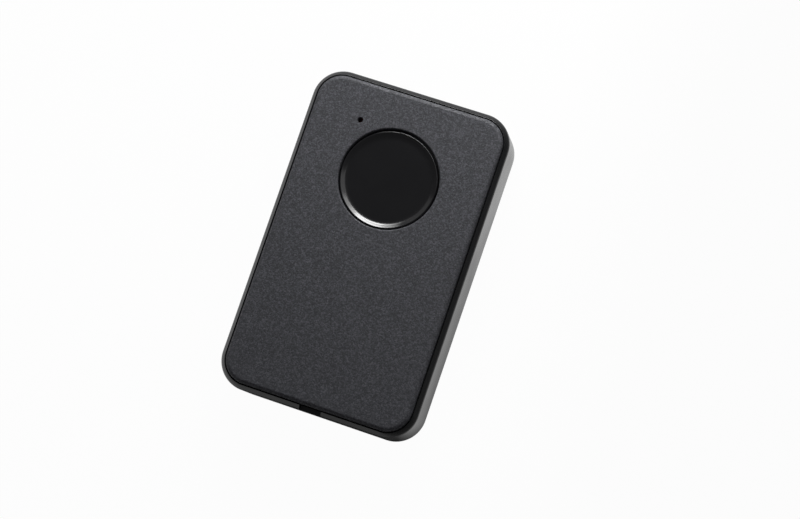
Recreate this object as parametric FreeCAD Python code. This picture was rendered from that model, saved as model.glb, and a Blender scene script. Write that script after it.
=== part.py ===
import FreeCAD, Part
import math
import os

# One-button gate remote control, lying on its back.
# Millimetres. +X across the case, +Y towards the indicator end, +Z out of the face.
# The origin is the middle of the flat back.

V = FreeCAD.Vector
UP = V(0, 0, 1)
TOLERANCE = 1e-6
os.makedirs("parts", exist_ok=True)

# Case, outside: its width and height follow from the cell that lies across it
case_length = 65.0
corner_radius = 6.0
back_edge_radius = 0.6
edge_steps = 3

# Sloped rim of the tub round the face
rim_width = 0.95
rim_inner_drop = 0.65
rim_outer_drop = 1.75
groove_gap = 0.20

# Tub walls
wall = 2.0
floor_thickness = 1.2
ledge_drop = 1.8

# Front cover
skin_thickness = 1.3
cover_edge_radius = 0.8
lip_clearance = 0.15
lip_thickness = 1.0
lip_depth = 2.0

# Snap hooks of the cover and their pockets in the tub
hook_reach = 0.40
hook_height = 0.70
hook_length = 5.0
hook_flat = 0.2
hook_y = 14.0
hook_above_lip_end = 0.30
hook_clearance = 0.15
tongue_slot = 0.6
tongue_slot_depth = 2.0

# Pry notch in the end of the tub
notch_width = 4.4
notch_reach_under_cover = 0.75
notch_below_ledge = 0.8

# Round button in the face
button_from_end = 17.95
button_radius = 9.6
button_gap = 0.22
button_hole_chamfer = 0.3
button_below_face = 0.2
button_crown = 1.1
button_wall = 1.5
button_travel = 0.3
dish_depth = 0.6
dish_slope_width = 0.85
dish_blend = 0.6
dish_steps = 3
button_rim_flat = 0.15
button_rim_chamfer = 0.25
button_flange_overlap = 0.6
button_flange_thickness = 0.75
button_flange_gap = 0.10
collar_clearance = 0.2
collar_wall = 0.7
collar_past_flange = 0.75
key_width = 2.0
key_reach = 0.55
key_clearance = 0.2
pusher_radius = 2.2
pusher_gap = 0.02
pusher_rib_thickness = 0.8
pusher_rib_height = 1.2
pusher_rib_from_wall = 0.5

# Circuit board
board_thickness = 1.0
board_above_floor = 1.2
board_clearance = 0.6
support_span = 3.0
support_rib_thickness = 1.0
peg_radius = 0.8
peg_clearance = 0.1
peg_height = 1.0
hold_down_span = 2.6
hold_down_gap = 0.05
locating_rib_width = 1.0
locating_rib_clearance = 0.1
locating_rib_y = 20.0
locating_rib_above_board = 1.0
lead_below_board = 0.6
lead_hole_clearance = 0.15

# Push switch, square, on four legs
switch_side = 6.0
switch_base_height = 3.2
switch_plate_thickness = 0.3
switch_total_height = 5.0
switch_chamber_radius = 2.4
switch_chamber_depth = 1.45
plunger_radius = 1.7
plunger_flange_radius = 2.1
plunger_flange_thickness = 0.45
plunger_clearance = 0.08
dome_radius = 2.1
dome_free_rise = 0.3
dome_crown_radius = 0.7
dome_thickness = 0.12
dome_gap = 0.03
switch_leg_width = 0.7
switch_leg_thickness = 0.3
switch_leg_pitch = 4.5
switch_leg_out = 0.35
switch_leg_exit = 0.9

# Indicator lamp, under a pinhole left of and above the button
pinhole_radius = 0.55
lamp_angle = 134.1
lamp_from_hole = 3.14
lamp_radius = 1.45
lamp_length = 5.25
lamp_steps = 2
lamp_flange_radius = 1.9
lamp_flange_thickness = 0.8
lamp_below_skin = 0.3
lamp_tube_clearance = 0.2
lamp_tube_wall = 0.65
lamp_tube_end_gap = 0.2
lamp_lead_side = 0.45
lamp_lead_pitch = 2.54

# Twelve volt cylindrical cell, lying across the board
cell_radius = 3.9
cell_length = 28.0
cell_end_room = 2.85
cell_from_posts = 1.3
cell_above_board = 0.1
cell_under_skin = 0.4
cell_sleeve_thickness = 0.15
cell_sleeve_back = 0.5
cell_shoulder = 0.8
cell_cap_radius = 2.9
cell_cap_thickness = 0.3
cell_nub_radius = 2.2
cell_seal_outer = 3.4
cell_rib_x = 8.0
cell_rib_thickness = 1.2
cell_rib_overlap = 1.6
cell_rib_clearance = 0.15

# Cell contacts of bent sheet
contact_gap = 0.02
contact_thickness = 0.3
contact_width = 6.0
contact_under_skin = 0.2
contact_from_lip = 0.55
contact_tab_width = 1.4
contact_lead_in = 0.9
leaf_fold_back = 0.6
leaf_end_above_board = 1.9

# Resonator in a round metal can
resonator_from_edge = 7.1
resonator_from_row = 8.0
resonator_radius = 3.9
resonator_height = 3.0
resonator_flange = 0.5
resonator_flange_height = 0.4
resonator_standoff = 0.4
resonator_edge_chamfer = 0.4
resonator_pin_side = 0.45
resonator_pin_circle = 2.54

# Encoder chip with gull-wing leads
chip_from_edge = 7.9
chip_from_row = 7.0
chip_width = 3.9
chip_length = 4.9
chip_height = 1.45
chip_standoff = 0.1
chip_pin_count = 4
chip_pin_pitch = 1.27
chip_pin_width = 0.4
chip_pin_thickness = 0.18
chip_pin_span = 6.0
chip_edge_chamfer = 0.25
gull_knee_out = 0.45
gull_knee_run = 0.1

# Transistor with three leads
transistor_x = -1.0
transistor_from_row = 8.5
transistor_width = 1.3
transistor_length = 2.9
transistor_height = 1.0
transistor_span = 2.4
transistor_pin_width = 0.4
transistor_pin_offset = 0.95
transistor_edge_chamfer = 0.12

# Chip resistors and capacitors
chip_part_length = 2.0
chip_part_width = 1.25
chip_part_cap = 0.35
resistor_height = 0.5
capacitor_height = 0.9
small_part_pitch = 3.4
capacitor_row_from_cell = 5.9
capacitor_count = 4
resistor_row_spacing = 3.7
resistor_count = 4

# Buffer capacitor can on a plastic foot
buffer_from_edge = 5.4
buffer_from_chip = 3.9
buffer_radius = 2.0
buffer_height = 5.4
buffer_foot_side = 4.3
buffer_foot_height = 0.9
buffer_edge_chamfer = 0.3

# Copper antenna loop printed round the indicator end of the board
trace_inset = 0.7
trace_width = 1.1
trace_thickness = 0.1
trace_end_y = 6.0

# Solder
solder_side = 1.5
solder_tip_side = 0.75
solder_past_lead = 0.1

# The four corners of a rectangle, anticlockwise from the first quarter
CORNER_SIGNS = ((1, 1), (-1, 1), (-1, -1), (1, -1))

# Widths that follow from the sizes above
lip_inset = wall + lip_clearance
lip_inner_inset = lip_inset + lip_thickness
case_width = cell_length + 2 * (cell_end_room + lip_inner_inset)
cover_inset = rim_width + groove_gap
board_inset = wall + board_clearance
board_width = case_width - 2 * board_inset
board_length = case_length - 2 * board_inset
board_corner = corner_radius - board_inset
support_x = board_width / 2 - board_corner
support_y = board_length / 2 - board_corner
button_hole_radius = button_radius + button_gap
button_flange_radius = button_hole_radius + button_flange_overlap
pusher_rib_reach = button_radius - button_wall - pusher_rib_from_wall

# Heights that follow
board_under_z = floor_thickness + board_above_floor
board_top_z = board_under_z + board_thickness
lead_end_z = board_under_z - lead_below_board
cell_z = board_top_z + cell_above_board + cell_radius
skin_under_z = cell_z + cell_radius + cell_under_skin
face_z = skin_under_z + skin_thickness
rim_edge_z = face_z - rim_outer_drop
rim_top_z = face_z - rim_inner_drop
ledge_z = face_z - ledge_drop
lip_end_z = ledge_z - lip_depth
button_top_z = face_z - button_below_face
button_floor_z = button_top_z - dish_depth
button_under_z = button_floor_z - button_crown
flange_top_z = skin_under_z - button_flange_gap
flange_bottom_z = flange_top_z - button_flange_thickness
collar_end_z = flange_bottom_z - button_travel - collar_past_flange
dome_rise = button_travel + dome_free_rise
switch_base_top_z = board_top_z + switch_base_height
switch_plate_top_z = switch_base_top_z + switch_plate_thickness
plunger_top_z = board_top_z + switch_total_height
dome_foot_z = switch_base_top_z - switch_chamber_depth
plunger_foot_z = dome_foot_z + dome_rise + dome_gap
lamp_top_z = skin_under_z - lamp_below_skin
lamp_base_z = lamp_top_z - lamp_length
contact_top_z = skin_under_z - contact_under_skin - contact_lead_in

# Places that follow
button_y = case_length / 2 - button_from_end
lamp_distance = button_hole_radius + lamp_from_hole
lamp_x = lamp_distance * math.cos(math.radians(lamp_angle))
lamp_y = button_y + lamp_distance * math.sin(math.radians(lamp_angle))
cell_y = -support_y + hold_down_span / 2 + cell_from_posts + cell_radius
cell_negative_x = -cell_length / 2
cell_positive_x = cell_length / 2
contact_tab_x = cell_length / 2 + cell_end_room - contact_from_lip - contact_thickness / 2
capacitor_row_y = cell_y + cell_radius + capacitor_row_from_cell
resistor_row_y = capacitor_row_y + resistor_row_spacing
resonator_x = resonator_from_edge - board_width / 2
resonator_y = resistor_row_y + resonator_from_row
chip_x = board_width / 2 - chip_from_edge
chip_y = resistor_row_y + chip_from_row
transistor_y = resistor_row_y + transistor_from_row
buffer_x = board_width / 2 - buffer_from_edge
buffer_y = chip_y + (chip_length + buffer_foot_side) / 2 + buffer_from_chip


def rounded_wire(inset, z):
    """The case's outline, drawn in by inset, as a wire at height z."""
    half_x = case_width / 2 - inset
    half_y = case_length / 2 - inset
    radius = corner_radius - inset
    arcs = []
    for quarter, (sign_x, sign_y) in enumerate(CORNER_SIGNS):
        centre = V(sign_x * (half_x - radius), sign_y * (half_y - radius), z)
        start = 90.0 * quarter
        arcs.append(Part.makeCircle(radius, centre, UP, start, start + 90.0))
    outline = []
    for index, arc in enumerate(arcs):
        following = arcs[(index + 1) % len(arcs)]
        outline.append(arc)
        outline.append(Part.makeLine(arc.Vertexes[-1].Point, following.Vertexes[0].Point))
    return Part.Wire(outline)


def rounded_block(inset, low_z, high_z):
    """The case's outline, drawn in by inset, as a solid between two heights."""
    face = Part.Face(rounded_wire(inset, low_z))
    return face.extrude(V(0, 0, high_z - low_z))


def arc_points(radius, steps):
    """Points of a quarter round edge, from its upright to its flat side, as (inset, rise)."""
    points = []
    for step in range(steps + 1):
        angle = math.radians(90.0 * step / steps)
        points.append((radius * (1 - math.cos(angle)), radius * math.sin(angle)))
    return points


def round_edged_block(inset, low_z, high_z, radius, at_top):
    """A rounded block whose top or bottom edge is rounded in a few slopes."""
    sections = []
    for step_inset, rise in arc_points(radius, edge_steps):
        z = high_z - radius + rise if at_top else low_z + radius - rise
        sections.append(rounded_wire(inset + step_inset, z))
    edge = Part.makeLoft(sections, True, True)
    if at_top:
        return edge.fuse(rounded_block(inset, low_z, high_z - radius)).removeSplitter()
    return edge.fuse(rounded_block(inset, low_z + radius, high_z)).removeSplitter()


def block(x, y, width, length, low_z, high_z):
    """An upright box about the point x, y."""
    corner = V(x - width / 2, y - length / 2, low_z)
    return Part.makeBox(width, length, high_z - low_z, corner)


def rod(x, y, radius, low_z, high_z):
    """An upright cylinder about the point x, y."""
    return Part.makeCylinder(radius, high_z - low_z, V(x, y, low_z), UP)


def rod_x(radius, start_x, end_x, y, z):
    """A cylinder lying along X."""
    return Part.makeCylinder(radius, end_x - start_x, V(start_x, y, z), V(1, 0, 0))


def turned(points, x, y):
    """A closed outline of (radius, height) points, turned about the upright line at x, y."""
    corners = [V(x + radius, y, height) for radius, height in points]
    face = Part.Face(Part.makePolygon(corners + corners[:1]))
    return face.revolve(V(x, y, 0), UP, 360)


def bent_strip(points, thickness, width):
    """A strip of sheet bent along (across, height) points, in the XZ plane, centred on Y."""
    left = []
    right = []
    last = len(points) - 1
    for index, (across, height) in enumerate(points):
        before = points[max(index - 1, 0)]
        after = points[min(index + 1, last)]
        first = V(across - before[0], 0, height - before[1])
        second = V(after[0] - across, 0, after[1] - height)
        if first.Length == 0:
            first = second
        if second.Length == 0:
            second = first
        first.normalize()
        second.normalize()
        mitre = V(-first.z - second.z, 0, first.x + second.x)
        mitre.normalize()
        normal = V(-first.z, 0, first.x)
        mitre = mitre * (thickness / 2 / mitre.dot(normal))
        left.append(V(across, -width / 2, height) + mitre)
        right.append(V(across, -width / 2, height) - mitre)
    outline = left + right[::-1]
    face = Part.Face(Part.makePolygon(outline + outline[:1]))
    return face.extrude(V(0, width, 0))


def moved(shape, x, y, z=0.0, turn=0.0):
    """A copy of a shape, turned about Z and then moved."""
    copy = shape.copy()
    copy.rotate(V(0, 0, 0), UP, turn)
    copy.translate(V(x, y, z))
    return copy


def edges_at(shape, z):
    """The edges of a shape that lie wholly at one height."""
    found = []
    for edge in shape.Edges:
        box = edge.BoundBox
        if abs(box.ZMin - z) < TOLERANCE and abs(box.ZMax - z) < TOLERANCE:
            found.append(edge)
    return found


def save(name, shape):
    """Write one piece, or one group of like pieces, under its name."""
    shape.exportStep("parts/" + name + ".step")


def cross_post(x, y, span, low_z, high_z):
    """A moulded post with the section of a plus sign."""
    along_x = block(x, y, span, support_rib_thickness, low_z, high_z)
    return along_x.fuse(block(x, y, support_rib_thickness, span, low_z, high_z)).removeSplitter()


def hook_places():
    """The middle of each snap hook along the two long walls."""
    for side in (-1, 1):
        for place in (-hook_y, hook_y):
            yield side, place


def support_places():
    """The four points that carry the board, and whether each has a locating peg."""
    for side in (-1, 1):
        for end in (-1, 1):
            yield side * support_x, end * support_y, side == end


def make_tub():
    """The moulded tub: back, walls, sloped rim, ledge, supports and pry notch."""
    body = round_edged_block(0, 0, rim_edge_z, back_edge_radius, at_top=False)
    rim = Part.makeLoft([rounded_wire(0, rim_edge_z), rounded_wire(rim_width, rim_top_z)], True, True)
    tub = body.fuse(rim)
    tub = tub.cut(rounded_block(wall, floor_thickness, ledge_z))
    tub = tub.cut(rounded_block(rim_width, ledge_z, face_z))
    for x, y, has_peg in support_places():
        tub = tub.fuse(cross_post(x, y, support_span, floor_thickness, board_under_z))
        if has_peg:
            tub = tub.fuse(rod(x, y, peg_radius, board_under_z, board_top_z + peg_height))
    rib_reach = board_clearance - locating_rib_clearance
    for side in (-1, 1):
        for y in (-locating_rib_y, 0, locating_rib_y):
            rib_x = side * (case_width / 2 - wall - rib_reach / 2)
            rib_top_z = board_top_z + locating_rib_above_board
            rib = block(rib_x, y, rib_reach, locating_rib_width, floor_thickness, rib_top_z)
            tub = tub.fuse(rib)
    for side, y in hook_places():
        reach = hook_reach - lip_clearance + hook_clearance
        pocket_x = side * (case_width / 2 - wall + reach / 2)
        low_z = lip_end_z + hook_above_lip_end - hook_clearance
        high_z = lip_end_z + hook_above_lip_end + hook_height + hook_clearance
        pocket = block(pocket_x, y, reach, hook_length + 2 * hook_clearance, low_z, high_z)
        tub = tub.cut(pocket)
    notch_depth = cover_inset + notch_reach_under_cover
    notch_y = -case_length / 2 + notch_depth / 2
    notch = block(0, notch_y, notch_width, notch_depth, ledge_z - notch_below_ledge, face_z)
    return tub.cut(notch).removeSplitter()


def make_cover():
    """The textured front cover: plate, locating lip, snap hooks, collar, lamp tube and posts."""
    plate = round_edged_block(cover_inset, ledge_z, face_z, cover_edge_radius, at_top=True)
    lip = rounded_block(lip_inset, lip_end_z, ledge_z)
    hollow = rounded_block(lip_inner_inset, lip_end_z, skin_under_z)
    cover = plate.fuse(lip).cut(hollow)
    for side, y in hook_places():
        cover = add_hook(cover, side, y)
    cover = cover.fuse(collar_ring())
    tube_radius = lamp_radius + lamp_tube_clearance
    tube_low_z = lamp_base_z + lamp_flange_thickness + lamp_tube_end_gap
    tube = rod(lamp_x, lamp_y, tube_radius + lamp_tube_wall, tube_low_z, skin_under_z)
    flange_space = rod(0, button_y, button_flange_radius + collar_clearance, tube_low_z, skin_under_z)
    cover = cover.fuse(tube.cut(flange_space))
    for x, y, has_peg in support_places():
        post = cross_post(x, y, hold_down_span, board_top_z + hold_down_gap, skin_under_z)
        if has_peg:
            bore_top = board_top_z + peg_height + hold_down_gap + peg_clearance
            post = post.cut(rod(x, y, peg_radius + peg_clearance, board_top_z, bore_top))
        cover = cover.fuse(post)
    for side in (-1, 1):
        cover = cover.fuse(cell_rib(side * cell_rib_x))
    cover = cover.cut(rod(lamp_x, lamp_y, tube_radius, tube_low_z, skin_under_z))
    cover = cover.cut(rod(lamp_x, lamp_y, pinhole_radius, skin_under_z, face_z))
    cover = cover.cut(rod(0, button_y, button_hole_radius, skin_under_z, face_z))
    cover = cover.cut(key_block(key_clearance, collar_end_z, skin_under_z))
    cover = cover.removeSplitter()
    return cover.makeChamfer(button_hole_chamfer, hole_edges(cover, button_hole_radius, face_z))


def hole_edges(shape, radius, z):
    """The round edges of one radius at one height."""
    found = []
    for edge in edges_at(shape, z):
        if isinstance(edge.Curve, Part.Circle) and abs(edge.Curve.Radius - radius) < TOLERANCE:
            found.append(edge)
    return found


def add_hook(cover, side, y):
    """Put one snap hook on the lip, with a slot each side so that its tongue can bend."""
    lip_face_x = case_width / 2 - lip_inset
    low_z = lip_end_z + hook_above_lip_end
    reach = hook_reach
    profile = [
        V(lip_face_x - lip_thickness / 2, y - hook_length / 2, low_z),
        V(lip_face_x, y - hook_length / 2, low_z),
        V(lip_face_x + reach, y - hook_length / 2, low_z + hook_height - hook_flat),
        V(lip_face_x + reach, y - hook_length / 2, low_z + hook_height),
        V(lip_face_x - lip_thickness / 2, y - hook_length / 2, low_z + hook_height),
    ]
    hook = Part.Face(Part.makePolygon(profile + profile[:1])).extrude(V(0, hook_length, 0))
    if side < 0:
        hook = hook.mirror(V(0, 0, 0), V(1, 0, 0))
    cover = cover.fuse(hook)
    slot_x = side * (lip_face_x - lip_thickness / 2)
    for end in (-1, 1):
        slot_y = y + end * (hook_length + tongue_slot) / 2
        slot = block(slot_x, slot_y, tongue_slot_depth, tongue_slot, lip_end_z, ledge_z)
        cover = cover.cut(slot)
    return cover


def collar_ring():
    """The guide collar under the face, round the button's flange."""
    inner = button_flange_radius + collar_clearance
    ring = rod(0, button_y, inner + collar_wall, collar_end_z, skin_under_z)
    return ring.cut(rod(0, button_y, inner, collar_end_z, skin_under_z))


def key_block(clearance, low_z, high_z):
    """The block that keeps the button from turning, grown by a clearance."""
    reach = button_flange_radius + key_reach + clearance
    return block(reach / 2, button_y, reach, key_width + 2 * clearance, low_z, high_z)


def cell_rib(x):
    """A rib of the cover with a round saddle that keeps the cell down."""
    saddle_radius = cell_radius + cell_rib_clearance
    low_z = cell_z + cell_radius - cell_rib_overlap
    rib = block(x, cell_y, cell_rib_thickness, 2 * saddle_radius, low_z, skin_under_z)
    saddle = rod_x(saddle_radius, x - cell_rib_thickness, x + cell_rib_thickness, cell_y, cell_z)
    return rib.cut(saddle)


def dish_outline():
    """The dish from its middle to its brim: a flat, a blend of a few steps and a slope."""
    brim_radius = button_radius - button_rim_chamfer - button_rim_flat
    slope = math.atan2(dish_depth, dish_slope_width)
    blend_end = brim_radius - dish_slope_width + dish_blend * math.tan(slope / 2) * math.cos(slope)
    blend_start = blend_end - dish_blend * math.sin(slope)
    points = [(0, button_floor_z)]
    for step in range(dish_steps + 1):
        angle = slope * step / dish_steps
        radius = blend_start + dish_blend * math.sin(angle)
        points.append((radius, button_floor_z + dish_blend * (1 - math.cos(angle))))
    points.append((brim_radius, button_top_z))
    return points


def make_button():
    """The dished button cap, with its flange, key, pusher and ribs."""
    recess_radius = button_radius - button_wall
    outline = dish_outline() + [
        (button_radius, button_top_z),
        (button_radius, flange_top_z),
        (button_flange_radius, flange_top_z),
        (button_flange_radius, flange_bottom_z),
        (recess_radius, flange_bottom_z),
        (recess_radius, button_under_z),
        (0, button_under_z),
    ]
    cap = turned(outline, 0, button_y)
    cap = cap.makeChamfer(button_rim_chamfer, hole_edges(cap, button_radius, button_top_z))
    key = key_block(0, flange_bottom_z, flange_top_z)
    key = key.cut(rod(0, button_y, button_radius, flange_bottom_z, flange_top_z))
    cap = cap.fuse(key)
    cap = cap.fuse(rod(0, button_y, pusher_radius, plunger_top_z + pusher_gap, button_under_z))
    rib_low_z = button_under_z - pusher_rib_height
    rib_length = 2 * pusher_rib_reach
    cap = cap.fuse(block(0, button_y, rib_length, pusher_rib_thickness, rib_low_z, button_under_z))
    cap = cap.fuse(block(0, button_y, pusher_rib_thickness, rib_length, rib_low_z, button_under_z))
    return cap.removeSplitter()


def make_board(lead_slots):
    """The circuit board, with round holes for the pegs and a slot for each lead."""
    board = rounded_block(board_inset, board_under_z, board_top_z)
    for x, y, has_peg in support_places():
        if has_peg:
            board = board.cut(rod(x, y, peg_radius + peg_clearance, board_under_z, board_top_z))
    for x, y, width, length in lead_slots:
        board = board.cut(block(x, y, width, length, board_under_z, board_top_z))
    return board


def make_trace():
    """The copper antenna loop, a thin flat band that follows the board's edge."""
    outer_inset = board_inset + trace_inset
    top_z = board_top_z + trace_thickness
    band = rounded_block(outer_inset, board_top_z, top_z)
    band = band.cut(rounded_block(outer_inset + trace_width, board_top_z, top_z))
    kept = block(0, trace_end_y + case_length / 2, case_width, case_length, board_top_z, top_z)
    return band.common(kept)


def make_switch_base():
    """The switch's moulded base with the round chamber for the dome and plunger."""
    base = block(0, button_y, switch_side, switch_side, board_top_z, switch_base_top_z)
    base = base.cut(rod(0, button_y, switch_chamber_radius, dome_foot_z, switch_base_top_z))
    for leg in switch_legs():
        base = base.cut(leg)
    return base


def make_switch_plate():
    """The steel plate that closes the switch."""
    plate = block(0, button_y, switch_side, switch_side, switch_base_top_z, switch_plate_top_z)
    plate = plate.cut(
        rod(0, button_y, plunger_radius + plunger_clearance, switch_base_top_z, switch_plate_top_z)
    )
    return plate


def make_plunger():
    """The switch's plunger: a stem over a flange that is kept in by the plate."""
    flange_top = plunger_foot_z + plunger_flange_thickness
    stem = rod(0, button_y, plunger_radius, plunger_foot_z, plunger_top_z)
    return stem.fuse(rod(0, button_y, plunger_flange_radius, plunger_foot_z, flange_top)).removeSplitter()


def make_dome():
    """The snap dome: a thin steel disc with a flat crown and one slope."""
    top_z = dome_foot_z + dome_rise
    outline = [
        (0, top_z - dome_thickness),
        (dome_crown_radius, top_z - dome_thickness),
        (dome_radius - dome_thickness, dome_foot_z),
        (dome_radius, dome_foot_z),
        (dome_crown_radius, top_z),
        (0, top_z),
    ]
    return turned(outline, 0, button_y)


def switch_legs():
    """The four legs of the switch, bent down through the board."""
    exit_z = board_top_z + switch_leg_exit
    leg_x = switch_side / 2 + switch_leg_out
    points = [
        (switch_side / 2 - switch_leg_out, exit_z),
        (leg_x, exit_z),
        (leg_x, lead_end_z),
    ]
    leg = bent_strip(points, switch_leg_thickness, switch_leg_width)
    legs = []
    for turn in (0, 180):
        for end in (-1, 1):
            legs.append(moved(leg, 0, button_y + end * switch_leg_pitch / 2, turn=turn))
    return legs


def switch_leg_places():
    """Where the switch's legs pass through the board."""
    leg_x = switch_side / 2 + switch_leg_out
    return [(side * leg_x, button_y + end * switch_leg_pitch / 2) for side in (-1, 1) for end in (-1, 1)]


def make_lamp():
    """The indicator's clear lens: a short rod with a round end over a flange."""
    flange_top = lamp_base_z + lamp_flange_thickness
    outline = [(0, lamp_base_z), (lamp_flange_radius, lamp_base_z)]
    outline += [(lamp_flange_radius, flange_top), (lamp_radius, flange_top)]
    for inset, rise in arc_points(lamp_radius, lamp_steps):
        outline.append((lamp_radius - inset, lamp_top_z - lamp_radius + rise))
    return turned(outline, lamp_x, lamp_y)


def lamp_lead_places():
    """Where the lamp's two leads pass through the board."""
    return [(lamp_x + side * lamp_lead_pitch / 2, lamp_y) for side in (-1, 1)]


def lamp_leads():
    """The lamp's two square leads."""
    side = lamp_lead_side
    return [block(x, y, side, side, lead_end_z, lamp_base_z) for x, y in lamp_lead_places()]


def make_cell_can():
    """The cell's steel can."""
    can_end = cell_positive_x - cell_shoulder
    return rod_x(cell_radius - cell_sleeve_thickness, cell_negative_x, can_end, cell_y, cell_z)


def make_cell_sleeve():
    """The thin film sleeve round the can."""
    start = cell_negative_x + cell_sleeve_back
    end = cell_positive_x - cell_shoulder - cell_sleeve_back
    sleeve = rod_x(cell_radius, start, end, cell_y, cell_z)
    return sleeve.cut(rod_x(cell_radius - cell_sleeve_thickness, start, end, cell_y, cell_z))


def make_cell_seal():
    """The ring that insulates the positive cap from the can."""
    start = cell_positive_x - cell_shoulder
    end = start + cell_cap_thickness
    ring = rod_x(cell_seal_outer, start, end, cell_y, cell_z)
    return ring.cut(rod_x(cell_cap_radius, start, end, cell_y, cell_z))


def make_cell_cap():
    """The positive cap with its nub."""
    start = cell_positive_x - cell_shoulder
    cap = rod_x(cell_cap_radius, start, start + cell_cap_thickness, cell_y, cell_z)
    return cap.fuse(rod_x(cell_nub_radius, start, cell_positive_x, cell_y, cell_z)).removeSplitter()


def contact_tab(x):
    """The tab that holds a cell contact in the board."""
    return block(x, cell_y, contact_thickness, contact_tab_width, lead_end_z, board_top_z)


def make_positive_contact():
    """The flat contact at the cell's nub, on a bent foot."""
    plate_x = cell_positive_x + contact_gap + contact_thickness / 2
    foot_z = board_top_z + contact_thickness / 2
    points = [
        (contact_tab_x + contact_thickness / 2, foot_z),
        (plate_x, foot_z),
        (plate_x, contact_top_z),
        (plate_x + contact_lead_in / 2, contact_top_z + contact_lead_in),
    ]
    strip = moved(bent_strip(points, contact_thickness, contact_width), 0, cell_y)
    return strip.fuse(contact_tab(contact_tab_x)).removeSplitter()


def make_negative_contact():
    """The spring contact at the cell's foot: a post with a folded leaf."""
    leaf_x = cell_negative_x - contact_gap - contact_thickness / 2
    points = [
        (-contact_tab_x, board_top_z),
        (-contact_tab_x, contact_top_z),
        (leaf_x - contact_lead_in / 2, contact_top_z - contact_thickness),
        (leaf_x, cell_z),
        (leaf_x - leaf_fold_back, board_top_z + leaf_end_above_board),
    ]
    strip = moved(bent_strip(points, contact_thickness, contact_width), 0, cell_y)
    return strip.fuse(contact_tab(-contact_tab_x)).removeSplitter()


def make_resonator_can():
    """The resonator's round can on its flange."""
    low_z = board_top_z + resonator_standoff
    flange_top = low_z + resonator_flange_height
    can = rod(resonator_x, resonator_y, resonator_radius, low_z, low_z + resonator_height)
    can = can.makeChamfer(resonator_edge_chamfer, edges_at(can, low_z + resonator_height))
    flange = rod(resonator_x, resonator_y, resonator_radius + resonator_flange, low_z, flange_top)
    return can.fuse(flange).removeSplitter()


def resonator_pin_places():
    """Three of the four quarter points of the pin circle."""
    places = []
    for quarter in range(3):
        angle = math.radians(90 * quarter)
        x = resonator_x + resonator_pin_circle * math.cos(angle)
        y = resonator_y + resonator_pin_circle * math.sin(angle)
        places.append((x, y))
    return places


def resonator_pins():
    """The resonator's three pins."""
    top_z = board_top_z + resonator_standoff
    side = resonator_pin_side
    return [block(x, y, side, side, lead_end_z, top_z) for x, y in resonator_pin_places()]


def gull_lead(body_half, span, width, thickness, exit_z):
    """One gull-wing lead, towards +X from a body whose half width is given."""
    foot_z = board_top_z + thickness / 2
    knee = body_half + min(gull_knee_out, (span / 2 - body_half) / 2)
    points = [(body_half, exit_z), (knee, exit_z), (knee + gull_knee_run, foot_z), (span / 2, foot_z)]
    return bent_strip(points, thickness, width)


def make_chip():
    """The encoder chip's moulded body, with its top edges drawn in."""
    low_z = board_top_z + chip_standoff
    body = block(chip_x, chip_y, chip_width, chip_length, low_z, low_z + chip_height)
    return body.makeChamfer(chip_edge_chamfer, edges_at(body, low_z + chip_height))


def chip_leads():
    """The chip's leads, in two rows."""
    exit_z = board_top_z + chip_standoff + chip_height / 2
    lead = gull_lead(chip_width / 2, chip_pin_span, chip_pin_width, chip_pin_thickness, exit_z)
    leads = []
    for turn in (0, 180):
        for index in range(chip_pin_count):
            y = (index - (chip_pin_count - 1) / 2) * chip_pin_pitch
            leads.append(moved(lead, chip_x, chip_y + y, turn=turn))
    return leads


def make_transistor():
    """The transistor's moulded body."""
    low_z = board_top_z + chip_standoff
    top_z = low_z + transistor_height
    body = block(transistor_x, transistor_y, transistor_width, transistor_length, low_z, top_z)
    return body.makeChamfer(transistor_edge_chamfer, edges_at(body, top_z))


def transistor_leads():
    """The transistor's three leads: two on one side and one on the other."""
    exit_z = board_top_z + chip_standoff + transistor_height / 2
    lead = gull_lead(
        transistor_width / 2, transistor_span, transistor_pin_width, chip_pin_thickness, exit_z
    )
    places = ((0, transistor_pin_offset), (0, -transistor_pin_offset), (180, 0))
    return [moved(lead, transistor_x, transistor_y + y, turn=turn) for turn, y in places]


def chip_part_places(count, y):
    """A row of small parts, spaced evenly about the middle of the board."""
    return [((index - (count - 1) / 2) * small_part_pitch, y) for index in range(count)]


def chip_part_bodies(places, height):
    """The ceramic middles of small parts."""
    length = chip_part_length - 2 * chip_part_cap
    return [block(x, y, chip_part_width, length, board_top_z, board_top_z + height) for x, y in places]


def chip_part_caps(places, height):
    """The tinned ends of small parts."""
    offset = (chip_part_length - chip_part_cap) / 2
    caps = []
    for x, y in places:
        for end in (-1, 1):
            cap_y = y + end * offset
            caps.append(block(x, cap_y, chip_part_width, chip_part_cap, board_top_z, board_top_z + height))
    return caps


def make_buffer_foot():
    """The plastic foot of the buffer capacitor."""
    top_z = board_top_z + buffer_foot_height
    return block(buffer_x, buffer_y, buffer_foot_side, buffer_foot_side, board_top_z, top_z)


def make_buffer_can():
    """The buffer capacitor's can."""
    top_z = board_top_z + buffer_height
    can = rod(buffer_x, buffer_y, buffer_radius, board_top_z + buffer_foot_height, top_z)
    return can.makeChamfer(buffer_edge_chamfer, edges_at(can, top_z))


def tapered_block(x, y, low_side, high_side, low_z, high_z):
    """A four-sided block about x, y that widens from one height to another."""
    rings = []
    for side, z in ((low_side, low_z), (high_side, high_z)):
        half = side / 2
        rings.append([V(x + sign_x * half, y + sign_y * half, z) for sign_x, sign_y in CORNER_SIGNS])
    low, high = rings
    outlines = [low, high]
    for index in range(len(CORNER_SIGNS)):
        following = (index + 1) % len(CORNER_SIGNS)
        outlines.append([low[index], low[following], high[following], high[index]])
    faces = [Part.Face(Part.makePolygon(outline + outline[:1])) for outline in outlines]
    return Part.Solid(Part.Shell(faces))


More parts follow.
